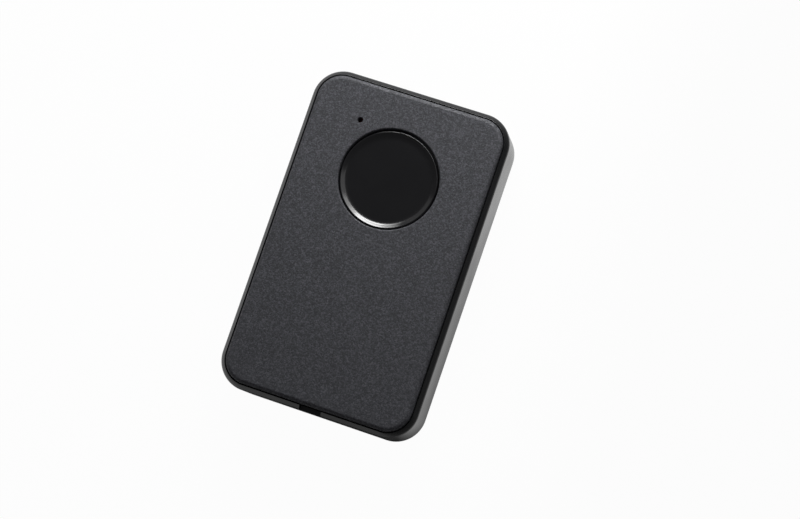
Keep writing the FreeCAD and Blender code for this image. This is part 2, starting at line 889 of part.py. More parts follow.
def solder_fillets(places, leads):
    """A tapered heap of solder under the board round each lead, cut to the lead's own shape."""
    low_z = lead_end_z - solder_past_lead
    heaps = []
    for x, y in places:
        heap = tapered_block(x, y, solder_tip_side, solder_side, low_z, board_under_z)
        for lead in leads:
            heap = heap.cut(lead)
        heaps.append(heap)
    return heaps


def lead_slots(places, width, length):
    """The board's slots for leads of one section, each a little larger than its lead."""
    gap = 2 * lead_hole_clearance
    return [(x, y, width + gap, length + gap) for x, y in places]


def main():
    """Make every piece and write it under its name."""
    legs = switch_legs()
    lamp_wires = lamp_leads()
    pins = resonator_pins()
    tabs = [contact_tab(contact_tab_x), contact_tab(-contact_tab_x)]
    tab_places = [(contact_tab_x, cell_y), (-contact_tab_x, cell_y)]
    slots = lead_slots(switch_leg_places(), switch_leg_thickness, switch_leg_width)
    slots += lead_slots(lamp_lead_places(), lamp_lead_side, lamp_lead_side)
    slots += lead_slots(resonator_pin_places(), resonator_pin_side, resonator_pin_side)
    slots += lead_slots(tab_places, contact_thickness, contact_tab_width)
    soldered = [(x, y) for x, y, width, length in slots]
    resistors = chip_part_places(resistor_count, resistor_row_y)
    capacitors = chip_part_places(capacitor_count, capacitor_row_y)
    ends = chip_part_caps(resistors, resistor_height) + chip_part_caps(capacitors, capacitor_height)

    save("rear_tub", make_tub())
    save("front_cover", make_cover())
    save("button_cap", make_button())
    save("circuit_board", make_board(slots))
    save("antenna_trace", make_trace())
    save("switch_base", make_switch_base())
    save("switch_plate", make_switch_plate())
    save("switch_plunger", make_plunger())
    save("switch_dome", make_dome())
    save("switch_legs", Part.makeCompound(legs))
    save("lamp_lens", make_lamp())
    save("lamp_leads", Part.makeCompound(lamp_wires))
    save("cell_can", make_cell_can())
    save("cell_sleeve", make_cell_sleeve())
    save("cell_seal", make_cell_seal())
    save("cell_cap", make_cell_cap())
    save("positive_contact", make_positive_contact())
    save("negative_contact", make_negative_contact())
    save("resonator_can", make_resonator_can())
    save("resonator_pins", Part.makeCompound(pins))
    save("encoder_chip", make_chip())
    save("encoder_leads", Part.makeCompound(chip_leads()))
    save("transistor", make_transistor())
    save("transistor_leads", Part.makeCompound(transistor_leads()))
    save("chip_resistors", Part.makeCompound(chip_part_bodies(resistors, resistor_height)))
    save("chip_capacitors", Part.makeCompound(chip_part_bodies(capacitors, capacitor_height)))
    save("chip_part_ends", Part.makeCompound(ends))
    save("buffer_foot", make_buffer_foot())
    save("buffer_can", make_buffer_can())
    save("solder_joints", Part.makeCompound(solder_fillets(soldered, legs + lamp_wires + pins + tabs)))


main()
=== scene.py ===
"""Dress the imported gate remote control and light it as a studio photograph.

Every length is in metres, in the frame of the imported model: +X across the case, +Y towards the
indicator, +Z out of the face, and the origin in the middle of the flat back.
"""

import logging
import math
from dataclasses import dataclass, field
from enum import Enum
from itertools import product
from typing import Any, Callable, Iterable, Sequence

import bmesh
import bpy
from mathutils import Matrix, Vector


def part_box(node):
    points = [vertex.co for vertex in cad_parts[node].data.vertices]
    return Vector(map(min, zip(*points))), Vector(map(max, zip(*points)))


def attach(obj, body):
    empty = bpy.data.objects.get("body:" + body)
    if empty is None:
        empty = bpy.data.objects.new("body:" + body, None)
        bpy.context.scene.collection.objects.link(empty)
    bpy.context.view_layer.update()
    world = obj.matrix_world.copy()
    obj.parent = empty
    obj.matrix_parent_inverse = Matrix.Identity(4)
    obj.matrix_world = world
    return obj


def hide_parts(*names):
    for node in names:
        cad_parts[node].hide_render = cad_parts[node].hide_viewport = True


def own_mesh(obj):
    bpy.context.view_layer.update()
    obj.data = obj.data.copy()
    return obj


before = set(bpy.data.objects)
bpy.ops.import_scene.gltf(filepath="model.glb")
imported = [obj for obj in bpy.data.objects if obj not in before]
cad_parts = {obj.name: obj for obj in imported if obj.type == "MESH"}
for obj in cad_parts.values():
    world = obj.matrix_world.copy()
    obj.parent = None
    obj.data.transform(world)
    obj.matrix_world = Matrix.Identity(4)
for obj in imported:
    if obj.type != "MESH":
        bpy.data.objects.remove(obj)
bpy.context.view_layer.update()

LOG = logging.getLogger("gate_remote")

MM = 0.001

# How the tools work: what still counts as the same place, how far one piece reaches into the
# next that it is joined to, how far a cutting piece stands out of what it cuts, how nearly
# upright the normal of a flat top is, and how finely roundings are stepped.
HAIR = 0.01 * MM
OVERLAP = 0.1 * MM
OVERSHOOT = 1.0 * MM
LOOKS_UP = 0.9
CORNER_STRIPS = 20
FINE_STRIPS = 4
SOFT_STRIPS = 2
TURNED_SIDES = 128
SMOOTH_ANGLE = math.radians(35.0)

# Where tub and cover meet.
CASE_CORNER = 6.0 * MM
LEDGE_Z = 11.2 * MM
POST_PLACE = (14.0 * MM, 26.5 * MM)
HOOK_Y = 14.0 * MM

# Nearly all of a noise pattern's values lie in this span, and a wave pattern of this scale has
# bands one metre apart.
NOISE_SPAN = (0.3, 0.7)
BAND_SCALE = 0.314

Colour = tuple[float, float, float]
Pair = tuple[float, float]
Triple = tuple[float, float, float]
Ring = tuple[float, float]
Socket = bpy.types.NodeSocket
EdgeTest = Callable[[Vector, Vector], bool]


class Body(Enum):
    """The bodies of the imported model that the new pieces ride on."""

    CASE = "case"
    BUTTON = "button"


class Pick(Enum):
    """What a selection in edit mode is made of."""

    FACES = "FACE"
    EDGES = "EDGE"


class Sum(Enum):
    """How a material's values are put together."""

    PRODUCT = "MULTIPLY"
    TOTAL = "ADD"
    GREATEST = "MAXIMUM"


def deselect() -> None:
    """Leave nothing selected, so that the next operator acts on one piece alone."""
    bpy.ops.object.select_all(action="DESELECT")


def near(first: float, second: float) -> bool:
    """Whether two coordinates are the same place."""
    return abs(first - second) < HAIR


def upright(a: Vector, b: Vector) -> bool:
    """Whether an edge between two ends rises."""
    return not near(a.z, b.z)


def level_at(height: float) -> EdgeTest:
    """A test that finds the edges that lie at a height."""
    return lambda a, b: near(a.z, height) and near(b.z, height)


def middle_of(low: Vector, high: Vector) -> Pair:
    """The x and y in the middle of a box."""
    return ((low.x + high.x) / 2, (low.y + high.y) / 2)


def about(middle: float, sway: Pair) -> Pair:
    """A range about a value, from how far it goes below and above."""
    return (middle - sway[0], middle + sway[1])


def quarter_round(radius: float, steps: int) -> list[Ring]:
    """Points of a quarter circle that turns from an upright side to a flat top.

    Args:
        radius: The radius of the rounding.
        steps: How many chords it is made of.

    Returns:
        (inset, rise) pairs, from the side to the top.
    """
    turns = [math.radians(90.0 * step / steps) for step in range(steps + 1)]
    return [(radius * (1.0 - math.cos(turn)), radius * math.sin(turn)) for turn in turns]


def bowed(middle: Ring, radius: float, first: float, last: float, steps: int) -> list[Ring]:
    """Points of an arc in a turned piece's outline.

    Args:
        middle: The arc's middle, as a radius and a height.
        radius: Its own radius, negative where the arc is hollow.
        first: How far the surface leans outwards at its start, in degrees.
        last: How far it leans outwards at its end.
        steps: How many chords it is made of.

    Returns:
        (radius, height) pairs, from the first to the last.
    """
    leans = [math.radians(first + (last - first) * step / steps) for step in range(steps + 1)]
    out, up = middle
    return [(out + radius * math.sin(lean), up + radius * math.cos(lean)) for lean in leans]


class Workpiece:
    """One mesh while it is shaped with Blender's own tools, as by hand."""

    def __init__(self, obj: bpy.types.Object) -> None:
        """Keep the object that the tools work on."""
        self.obj = obj

    def select(self) -> None:
        """Make this piece the active one, and the only one selected."""
        deselect()
        self.obj.select_set(True)
        bpy.context.view_layer.objects.active = self.obj

    def discard(self) -> None:
        """Throw the piece away."""
        bpy.data.objects.remove(self.obj)

    @classmethod
    def _taken(cls, name: str) -> "Workpiece":
        """Name the primitive that was just added and put its place into its mesh.

        Args:
            name: The piece's name.

        Returns:
            The piece, with its object at the origin.
        """
        obj = bpy.context.view_layer.objects.active
        obj.name = name
        obj.data.name = name
        bpy.ops.object.transform_apply(location=True, rotation=True, scale=True)
        return cls(obj)

    @classmethod
    def block(cls, name: str, low: Sequence[float], high: Sequence[float]) -> "Workpiece":
        """Start from a cube between two corners.

        Args:
            name: The piece's name.
            low: Its lowest corner.
            high: Its highest corner.

        Returns:
            The new piece.
        """
        low, high = Vector(low), Vector(high)
        deselect()
        bpy.ops.mesh.primitive_cube_add(size=1.0, location=(low + high) / 2, scale=high - low)
        return cls._taken(name)

    @classmethod
    def rod(
        cls, name: str, middle: Pair, radius: float, low_z: float, high_z: float, sides: int
    ) -> "Workpiece":
        """Start from an upright cylinder.

        Args:
            name: The piece's name.
            middle: Its x and y.
            radius: Its radius.
            low_z: The height of its lower end.
            high_z: The height of its upper end.
            sides: How many sides it has.

        Returns:
            The new piece.
        """
        deselect()
        bpy.ops.mesh.primitive_cylinder_add(
            vertices=sides,
            radius=radius,
            depth=high_z - low_z,
            location=(*middle, (low_z + high_z) / 2),
        )
        return cls._taken(name)

    @classmethod
    def lying_rod(
        cls, name: str, middle: Triple, radius: float, length: float, sides: int
    ) -> "Workpiece":
        """Start from a cylinder that lies along X.

        Args:
            name: The piece's name.
            middle: The place of its middle.
            radius: Its radius.
            length: Its length.
            sides: How many sides it has.

        Returns:
            The new piece.
        """
        deselect()
        bpy.ops.mesh.primitive_cylinder_add(
            vertices=sides,
            radius=radius,
            depth=length,
            location=middle,
            rotation=(0.0, math.radians(90.0), 0.0),
        )
        return cls._taken(name)

    @classmethod
    def disc(cls, name: str, middle: Triple, radius: float, sides: int) -> "Workpiece":
        """Start from a flat disc.

        Args:
            name: The piece's name.
            middle: The place of its middle.
            radius: Its radius.
            sides: How many sides it has.

        Returns:
            The new piece.
        """
        deselect()
        bpy.ops.mesh.primitive_circle_add(
            vertices=sides, radius=radius, fill_type="NGON", location=middle
        )
        return cls._taken(name)

    @classmethod
    def turned(
        cls, name: str, middle: Pair, rings: Sequence[Ring], sides: int = TURNED_SIDES
    ) -> "Workpiece":
        """Start from a disc and draw it out, ring by ring, into a turned solid.

        Args:
            name: The piece's name.
            middle: The x and y of its upright axis.
            rings: (radius, height) pairs from the lower face to the upper one.
            sides: How many sides each ring has.

        Returns:
            The new piece, closed by a disc at each end.
        """
        radius, height = rings[0]
        piece = cls.disc(name, (*middle, height), radius, sides)
        piece.pick_faces(lambda centre, normal: True)
        for next_radius, next_height in rings[1:]:
            rise = (0.0, 0.0, next_height - height)
            bpy.ops.mesh.extrude_region_move(TRANSFORM_OT_translate={"value": rise})
            growth = next_radius / radius
            bpy.ops.transform.resize(
                value=(growth, growth, 1.0), center_override=(*middle, next_height)
            )
            radius, height = next_radius, next_height
        bpy.ops.mesh.select_all(action="SELECT")
        bpy.ops.mesh.normals_make_consistent(inside=False)
        return piece.leave()

    @classmethod
    def slab(
        cls, name: str, half_x: float, half_y: float, low_z: float, high_z: float, corner: float
    ) -> "Workpiece":
        """Start from a cube about the Z axis and round its four upright edges.

        Args:
            name: The piece's name.
            half_x: Half its width.
            half_y: Half its length.
            low_z: The height of its lower face.
            high_z: The height of its upper face.
            corner: The radius of its corners.

        Returns:
            The new piece.
        """
        piece = cls.block(name, (-half_x, -half_y, low_z), (half_x, half_y, high_z))
        return piece.bevel(upright, corner, CORNER_STRIPS)

    def _edit(self, pick: Pick) -> bmesh.types.BMesh:
        """Go into edit mode with nothing selected.

        Args:
            pick: Whether faces or edges are to be selected.

        Returns:
            The mesh in edit mode.
        """
        self.select()
        bpy.ops.object.mode_set(mode="EDIT")
        bpy.ops.mesh.select_mode(type=pick.value)
        bpy.ops.mesh.select_all(action="DESELECT")
        return bmesh.from_edit_mesh(self.obj.data)

    def leave(self) -> "Workpiece":
        """Go back to object mode."""
        bpy.ops.object.mode_set(mode="OBJECT")
        return self

    def pick_faces(self, wanted: Callable[[Vector, Vector], bool]) -> None:
        """Go into edit mode and select faces.

        Args:
            wanted: Says of a face's centre and normal whether it is selected.
        """
        mesh = self._edit(Pick.FACES)
        for face in mesh.faces:
            face.select_set(wanted(face.calc_center_median(), face.normal))
        mesh.select_flush_mode()
        bmesh.update_edit_mesh(self.obj.data)

    def pick_edges(self, wanted: EdgeTest) -> None:
        """Go into edit mode and select edges.

        Args:
            wanted: Says of an edge's two ends whether it is selected.
        """
        mesh = self._edit(Pick.EDGES)
        for edge in mesh.edges:
            if wanted(edge.verts[0].co, edge.verts[1].co):
                edge.select_set(True)
        mesh.select_flush_mode()
        bmesh.update_edit_mesh(self.obj.data)

    def _pick_top(self, height: float) -> None:
        """Go into edit mode and select the faces at a height that look up."""
        self.pick_faces(lambda centre, normal: near(centre.z, height) and normal.z > LOOKS_UP)

    def bevel(self, wanted: EdgeTest, width: float, strips: int) -> "Workpiece":
        """Round some edges.

        Args:
            wanted: Says of an edge's two ends whether it is rounded.
            width: The radius of the rounding on a square edge.
            strips: How many strips it is made of.

        Returns:
            The piece itself.
        """
        self.pick_edges(wanted)
        bpy.ops.mesh.bevel(offset=width, segments=strips, affect="EDGES")
        return self.leave()

    def soften(self, width: float) -> "Workpiece":
        """Round every edge of a small piece alike."""
        return self.bevel(lambda a, b: True, width, SOFT_STRIPS)

    def step_in(self, height: float, inset: float, rise: float) -> "Workpiece":
        """Draw the flat face at a height inwards, and up or down on a slope.

        Args:
            height: The height of the face.
            inset: How far its edge moves in.
            rise: How far it moves up.

        Returns:
            The piece itself.
        """
        self._pick_top(height)
        bpy.ops.mesh.inset(thickness=inset, depth=rise)
        return self.leave()

    def sink(self, height: float, depth: float) -> "Workpiece":
        """Extrude the flat face at a height straight down.

        Args:
            height: The height of the face.
            depth: How far it goes down.

        Returns:
            The piece itself.
        """
        self._pick_top(height)
        down = (0.0, 0.0, -depth)
        bpy.ops.mesh.extrude_region_move(TRANSFORM_OT_translate={"value": down})
        return self.leave()

    def _modify(self, kind: str, **settings: Any) -> None:
        """Add one modifier, set it and apply it.

        Args:
            kind: The modifier's type.
            **settings: Its properties.
        """
        self.select()
        bpy.ops.object.modifier_add(type=kind)
        modifier = self.obj.modifiers[-1]
        for name, value in settings.items():
            setattr(modifier, name, value)
        bpy.ops.object.modifier_apply(modifier=modifier.name)

    def cut(self, *tools: "Workpiece") -> "Workpiece":
        """Take the room of other pieces out of this one, and throw those away.

        Args:
            *tools: The other pieces.

        Returns:
            The piece itself.
        """
        for tool in tools:
            self._modify("BOOLEAN", operation="DIFFERENCE", solver="EXACT", object=tool.obj)
            tool.discard()
        return self

    def join(self, *others: "Workpiece") -> "Workpiece":
        """Take other pieces into this mesh.

        Args:
            *others: The other pieces, which are then gone.

        Returns:
            The piece itself.
        """
        self.select()
        for piece in others:
            piece.obj.select_set(True)
        bpy.ops.object.join()
        return self

    def copied(self, shift: Sequence[float] = (0.0, 0.0, 0.0), turn: float = 0.0) -> "Workpiece":
        """Copy the piece, mesh and all, turned about Z and then moved.

        Args:
            shift: How far the copy is moved.
            turn: How far it is turned first, in degrees.

        Returns:
            The copy.
        """
        self.select()
        bpy.ops.object.duplicate(linked=False)
        copy = Workpiece(bpy.context.view_layer.objects.active)
        copy.obj.rotation_euler.z = math.radians(turn)
        copy.obj.location = shift
        bpy.ops.object.transform_apply(location=True, rotation=True, scale=True)
        return copy

    def at_both_ends(self, y: float) -> list["Workpiece"]:
        """Repeat a piece of one long wall at that wall's other end, and both on the other wall.

        Args:
            y: The y of the piece's middle.

        Returns:
            The piece itself and its three copies.
        """
        second = self.copied((0.0, -2 * y, 0.0))
        return [self, second, self.copied(turn=180.0), second.copied(turn=180.0)]

    def dress(self, finish: "Finish") -> "Workpiece":
        """Give the piece one finish all over.

        Args:
            finish: The finish.

        Returns:
            The piece itself.
        """
        self.obj.data.materials.clear()
        self.obj.data.materials.append(finish.material())
        return self

    def finish(self, body: Body, slot: str, *nodes: str) -> bpy.types.Object:
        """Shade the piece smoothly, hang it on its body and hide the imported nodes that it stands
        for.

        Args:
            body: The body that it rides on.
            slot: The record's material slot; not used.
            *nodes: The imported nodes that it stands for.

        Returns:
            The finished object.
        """
        self.select()
        bpy.ops.object.shade_smooth_by_angle(angle=SMOOTH_ANGLE)
        self._modify("WEIGHTED_NORMAL", keep_sharp=True)
        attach(self.obj, body.value)
        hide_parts(*nodes)
        faces = len(self.obj.data.polygons)
        LOG.info("%s: %d faces, rides on %s", self.obj.name, faces, body.value)
        return self.obj


class Graph:
    """The node tree of one material, with short names for what the finishes need."""

    def __init__(self, name: str) -> None:
        """Start a material with a principled shader on its output."""
        self.made = bpy.data.materials.new(name)
        self.made.use_nodes = True
        self.tree = self.made.node_tree
        self.tree.nodes.clear()
        self.output = self.add("ShaderNodeOutputMaterial")
        self.shader = self.add("ShaderNodeBsdfPrincipled")
        self.link(self.shader.outputs["BSDF"], self.output.inputs["Surface"])
        self.place = self.add("ShaderNodeTexCoord").outputs["Object"]

    def add(self, kind: str, **settings: Any) -> bpy.types.Node:
        """Add a node and set its properties.

        Args:
            kind: The node's type.
            **settings: Its properties.

        Returns:
            The node.
        """
        node = self.tree.nodes.new(kind)
        for name, value in settings.items():
            setattr(node, name, value)
        return node

    def link(self, source: Socket, target: Socket) -> None:
        """Join two sockets."""
        self.tree.links.new(source, target)

    def fix(self, **values: Any) -> None:
        """Set sockets of the shader, named with underscores for spaces."""
        for name, value in values.items():
            self.shader.inputs[name.replace("_", " ")].default_value = value

    def drive(self, **sources: Socket) -> None:
        """Link sockets of the shader, named with underscores for spaces."""
        for name, source in sources.items():
            self.link(source, self.shader.inputs[name.replace("_", " ")])

    def noise(
        self, size: float, detail: float = 2.0, stretch: Triple = (1.0, 1.0, 1.0)
    ) -> Socket:
        """A smooth random value over the piece.

        Args:
            size: The size of its lumps.
            detail: How many finer layers it has.
            stretch: How much finer it is along each axis.

        Returns:
            The value's socket, about 0.5 on average.
        """
        spread = self.add("ShaderNodeMapping")
        spread.inputs["Scale"].default_value = [share / size for share in stretch]
        noise = self.add("ShaderNodeTexNoise")
        noise.inputs["Scale"].default_value = 1.0
        noise.inputs["Detail"].default_value = detail
        self.link(self.place, spread.inputs["Vector"])
        self.link(spread.outputs["Vector"], noise.inputs["Vector"])
        return noise.outputs["Fac"]

    def grains(self, size: float) -> tuple[Socket, Socket]:
        """Random cells over the piece.

        Args:
            size: The cells' size.

        Returns:
            The distance from each cell's middle, and a random value for each cell.
        """
        cells = self.add("ShaderNodeTexVoronoi")
        cells.inputs["Scale"].default_value = 1.0 / size
        self.link(self.place, cells.inputs["Vector"])
        chance = self.add("ShaderNodeSeparateColor")
        self.link(cells.outputs["Color"], chance.inputs["Color"])
        return cells.outputs["Distance"], chance.outputs["Red"]

    def ranged(
        self, value: Socket, low: float, high: float, to_low: float | Socket, to_high: float
    ) -> Socket:
        """Spread a value from one range to another, kept within it.

        Args:
            value: The value's socket.
            low: Where its range starts.
            high: Where its range ends.
            to_low: What the start becomes, as a number or a socket.
            to_high: What the end becomes.

        Returns:
            The new value's socket.
        """
        node = self.add("ShaderNodeMapRange")
        self.link(value, node.inputs["Value"])
        for name, number in (("From Min", low), ("From Max", high), ("To Max", to_high)):
            node.inputs[name].default_value = number
        if isinstance(to_low, bpy.types.NodeSocket):
            self.link(to_low, node.inputs["To Min"])
        else:
            node.inputs["To Min"].default_value = to_low
        return node.outputs["Result"]

    def beyond(self, half_x: float, half_y: float) -> Socket:
        """How far each place is outside an upright square block about the origin.

        Args:
            half_x: Half the block's width.
            half_y: Half its length.

        Returns:
            The distance's socket.
        """
        reached = self.place
        for operation in ("ABSOLUTE", "SUBTRACT", "MAXIMUM"):
            node = self.add("ShaderNodeVectorMath", operation=operation)
            self.link(reached, node.inputs[0])
            reached = node.outputs["Vector"]
            if operation == "SUBTRACT":
                node.inputs[1].default_value = (half_x, half_y, 0.0)
        length = self.add("ShaderNodeVectorMath", operation="LENGTH")
        self.link(reached, length.inputs[0])
        return length.outputs["Value"]

    def distance(self, middle: Triple) -> Socket:
        """How far each place is from a point.

        Args:
            middle: The point.

        Returns:
            The distance's socket.
        """
        node = self.add("ShaderNodeVectorMath", operation="DISTANCE")
        node.inputs[1].default_value = middle
        self.link(self.place, node.inputs[0])
        return node.outputs["Value"]

    def combined(self, how: Sum, *values: Socket, clamp: bool = False) -> Socket:
        """One value from several, put together two at a time.

        Args:
            how: The way of putting them together.
            *values: The values' sockets.
            clamp: Whether the result is kept between 0 and 1.

        Returns:
            The result's socket.
        """
        result = values[0]
        for value in values[1:]:
            node = self.add("ShaderNodeMath", operation=how.value, use_clamp=clamp)
            self.link(result, node.inputs[0])
            self.link(value, node.inputs[1])
            result = node.outputs["Value"]
        return result

    def blended(self, share: Socket, first: Colour, second: Colour) -> Socket:
        """A colour that goes from one to another.

        Args:
            share: The socket that says how far.
            first: The colour at 0.
            second: The colour at 1.

        Returns:
            The colour's socket.
        """
        node = self.add("ShaderNodeMix", data_type="RGBA")
        self.link(share, node.inputs["Factor"])
        node.inputs["A"].default_value = (*first, 1.0)
        node.inputs["B"].default_value = (*second, 1.0)
        return node.outputs["Result"]

    def bump(self, height: Socket, depth: float, under: Socket | None = None) -> Socket:
        """Raise and sink the surface's shading.

        Args:
            height: The height's socket, from 0 to 1.
            depth: How much a height of 1 is.
            under: The normal of a coarser bump that lies under it.

        Returns:
            The normal's socket.
        """
        node = self.add("ShaderNodeBump")
        node.inputs["Distance"].default_value = depth
        self.link(height, node.inputs["Height"])
        if under is not None:
            self.link(under, node.inputs["Normal"])
        return node.outputs["Normal"]


@dataclass(frozen=True)
class Finish:
    """One finish, made into a material the first time that a piece asks for it."""

    name: str
    colour: Colour

    def material(self) -> bpy.types.Material:
        """The finish's material, made once.

        Returns:
            The material.
        """
        known = bpy.data.materials.get(self.name)
        if known is not None:
            return known
        graph = Graph(self.name)
        self.mix(graph)
        return graph.made

    def shade(self, factor: float) -> Colour:
        """The finish's colour, lighter or darker."""
        red, green, blue = self.colour
        return (red * factor, green * factor, blue * factor)

    def spread(self, graph: Graph, pattern: Socket, tones: Pair, roughness: Pair) -> None:
        """Let a noise pattern vary the finish's tone and roughness.

        Args:
            graph: The material's node tree.
            pattern: The pattern's socket.
            tones: The colour's share where the pattern is 0, and where it is 1.
            roughness: The roughness where the pattern is low, and where it is high.
        """
        first, second = (self.shade(tone) for tone in tones)
        graph.drive(
            Base_Color=graph.blended(pattern, first, second),
            Roughness=graph.ranged(pattern, *NOISE_SPAN, *roughness),
        )

    def mix(self, graph: Graph) -> None:
        """Build the finish's nodes. Each kind of finish has its own."""
        raise NotImplementedError


@dataclass(frozen=True)
class GrainedPlastic(Finish):
    """Moulded plastic from a spark-eroded mould: a fine, hard grain with light specks."""

    grain: float = 0.30 * MM
    fineness: float = 0.6
    depth: float = 0.014 * MM
    fine_share: float = 0.4
    chances: Pair = (0.2, 1.8)
    tones: Pair = (0.72, 2.06)
    cell: float = 0.7
    roughness: Pair = (0.85, 0.5)

    def mix(self, graph: Graph) -> None:
        """Cells of two sizes give each grain its own tone and height, and each a random gloss.

        Args:
            graph: The material's node tree.
        """
        distance, chance = graph.grains(self.grain)
        fine_distance, fine_chance = graph.grains(self.fineness * self.grain)
        both = graph.combined(Sum.TOTAL, chance, fine_chance)
        tone = graph.ranged(both, *self.chances, 0.0, 1.0)
        specks = graph.combined(Sum.PRODUCT, tone, tone)
        domes = graph.bump(graph.ranged(distance, 0.0, self.cell, 1.0, 0.0), self.depth)
        grit = graph.ranged(fine_distance, 0.0, self.cell, 1.0, 0.0)
        first, second = (self.shade(share) for share in self.tones)
        graph.drive(
            Base_Color=graph.blended(specks, first, second),
            Normal=graph.bump(grit, self.fine_share * self.depth, domes),
            Roughness=graph.ranged(fine_chance, 0.0, 1.0, *self.roughness),
        )


@dataclass(frozen=True)
class SatinPlastic(Finish):
    """Smooth moulded plastic with a soft sheen and the faintest unevenness."""

    roughness: float = 0.28
    sway: Pair = (0.03, 0.03)
    tones: Pair = (0.9, 1.1)
    cloud: float = 9.0 * MM
    skin: float = 0.18 * MM
    depth: float = 0.0015 * MM

    def mix(self, graph: Graph) -> None:
        """Slow noise varies the sheen, and fine noise keeps it from looking like lacquer.

        Args:
            graph: The material's node tree.
        """
        clouds = graph.noise(self.cloud)
        self.spread(graph, clouds, self.tones, about(self.roughness, self.sway))
        graph.drive(Normal=graph.bump(graph.noise(self.skin), self.depth))


@dataclass(frozen=True)
class PolishedPlastic(Finish):
    """Plastic from a polished mould, nearly a mirror."""

    roughness: float = 0.12
    sway: Pair = (0.02, 0.02)
    tones: Pair = (0.9, 1.1)
    haze: float = 5.0 * MM
    wave: float = 6.0 * MM
    depth: float = 0.01 * MM
    refraction: float = 1.7

    def mix(self, graph: Graph) -> None:
        """Wide, faint waves and a little haze are all that breaks the mirror.

        Args:
            graph: The material's node tree.
        """
        haze = graph.noise(self.haze, detail=3.0)
        self.spread(graph, haze, self.tones, about(self.roughness, self.sway))
        graph.fix(IOR=self.refraction)
        graph.drive(Normal=graph.bump(graph.noise(self.wave, detail=1.0), self.depth))


@dataclass(frozen=True)
class RolledMetal(Finish):
    """Thin metal with the fine lines of its rolling or drawing."""

    roughness: float = 0.3
    sway: Pair = (0.06, 0.08)
    tones: Pair = (0.88, 1.05)
    lines: Triple = (1.0, 8.0, 1.0)
    line: float = 0.4 * MM
    depth: float = 0.004 * MM

    def mix(self, graph: Graph) -> None:
        """Stretched noise draws the lines in tone, gloss and relief.

        Args:
            graph: The material's node tree.
        """
        streaks = graph.noise(self.line, detail=3.0, stretch=self.lines)
        self.spread(graph, streaks, self.tones, about(self.roughness, self.sway))
        graph.fix(Metallic=1.0)
        graph.drive(Normal=graph.bump(streaks, self.depth))


@dataclass(frozen=True)
class CastSolder(Finish):
    """Solder that has set with a dull, wrinkled skin."""

    roughness: Pair = (0.22, 0.5)
    tones: Pair = (0.8, 1.05)
    patch: float = 0.5 * MM
    depth: float = 0.03 * MM

    def mix(self, graph: Graph) -> None:
        """Noise makes patches of bright and dull metal.

        Args:
            graph: The material's node tree.
        """
        patches = graph.noise(self.patch, detail=4.0)
        self.spread(graph, patches, self.tones, self.roughness)
        graph.fix(Metallic=1.0)
        graph.drive(Normal=graph.bump(patches, self.depth))


@dataclass(frozen=True)
class BoardMask(Finish):
    """Green lacquer over glass cloth, whose weave shows faintly through it."""

    roughness: Pair = (0.24, 0.36)
    tones: Pair = (0.8, 1.1)
    thread: float = 0.45 * MM
    waviness: float = 0.6
    cloud: float = 4.0 * MM
    depth: float = 0.004 * MM

    def mix(self, graph: Graph) -> None:
        """Two crossed waves make the cloth, and slow noise clouds the lacquer.

        Args:
            graph: The material's node tree.
        """
        crossed = []
        for direction in ("X", "Y"):
            wave = graph.add("ShaderNodeTexWave", bands_direction=direction)
            wave.inputs["Scale"].default_value = BAND_SCALE / self.thread
            wave.inputs["Distortion"].default_value = self.waviness
            graph.link(graph.place, wave.inputs["Vector"])
            crossed.append(wave.outputs["Fac"])
        cloth = graph.combined(Sum.GREATEST, *crossed)
        first, second = (self.shade(tone) for tone in self.tones)
        graph.drive(
            Base_Color=graph.blended(cloth, first, second),
            Roughness=graph.ranged(graph.noise(self.cloud), *NOISE_SPAN, *self.roughness),
            Normal=graph.bump(cloth, self.depth),
        )


@dataclass(frozen=True)
class MouldedEpoxy(Finish):
    """Filled resin or fired ceramic: dull, even, with fine grit."""

    roughness: float = 0.5
    sway: Pair = (0.05, 0.08)
    tones: Pair = (0.85, 1.12)
    grit: float = 0.15 * MM
    depth: float = 0.006 * MM

    def mix(self, graph: Graph) -> None:
        """Fine noise gives the grit in tone and relief.

        Args:
            graph: The material's node tree.
        """
        grit = graph.noise(self.grit, detail=3.0)
        self.spread(graph, grit, self.tones, about(self.roughness, self.sway))
        graph.drive(Normal=graph.bump(grit, self.depth))


@dataclass(frozen=True)
class TintedEpoxy(Finish):
    """Clear cast resin, tinted through, with a few cloudy streaks."""

    roughness: Pair = (0.06, 0.16)
    tones: Pair = (0.85, 1.1)
    cloud: float = 0.8 * MM
    clearness: float = 0.85
    refraction: float = 1.54

    def mix(self, graph: Graph) -> None:
        """Most light goes through, and noise clouds the rest.

        Args:
            graph: The material's node tree.
        """
        self.spread(graph, graph.noise(self.cloud), self.tones, self.roughness)
        graph.fix(Transmission_Weight=self.clearness, IOR=self.refraction)


@dataclass(frozen=True)
class ShrunkFilm(Finish):
    """Plain film shrunk round the cell, with slight puckers along it."""

    roughness: Pair = (0.26, 0.4)
    tones: Pair = (0.92, 1.05)
    pucker: float = 0.9 * MM
    stretch: Triple = (0.15, 1.0, 1.0)
    depth: float = 0.02 * MM
    gloss: float = 0.3
    gloss_roughness: float = 0.15

    def mix(self, graph: Graph) -> None:
        """Noise drawn out along X makes the puckers.

        Args:
            graph: The material's node tree.
        """
        puckers = graph.noise(self.pucker, stretch=self.stretch)
        self.spread(graph, puckers, self.tones, self.roughness)
        graph.fix(Coat_Weight=self.gloss, Coat_Roughness=self.gloss_roughness)
        graph.drive(Normal=graph.bump(puckers, self.depth))


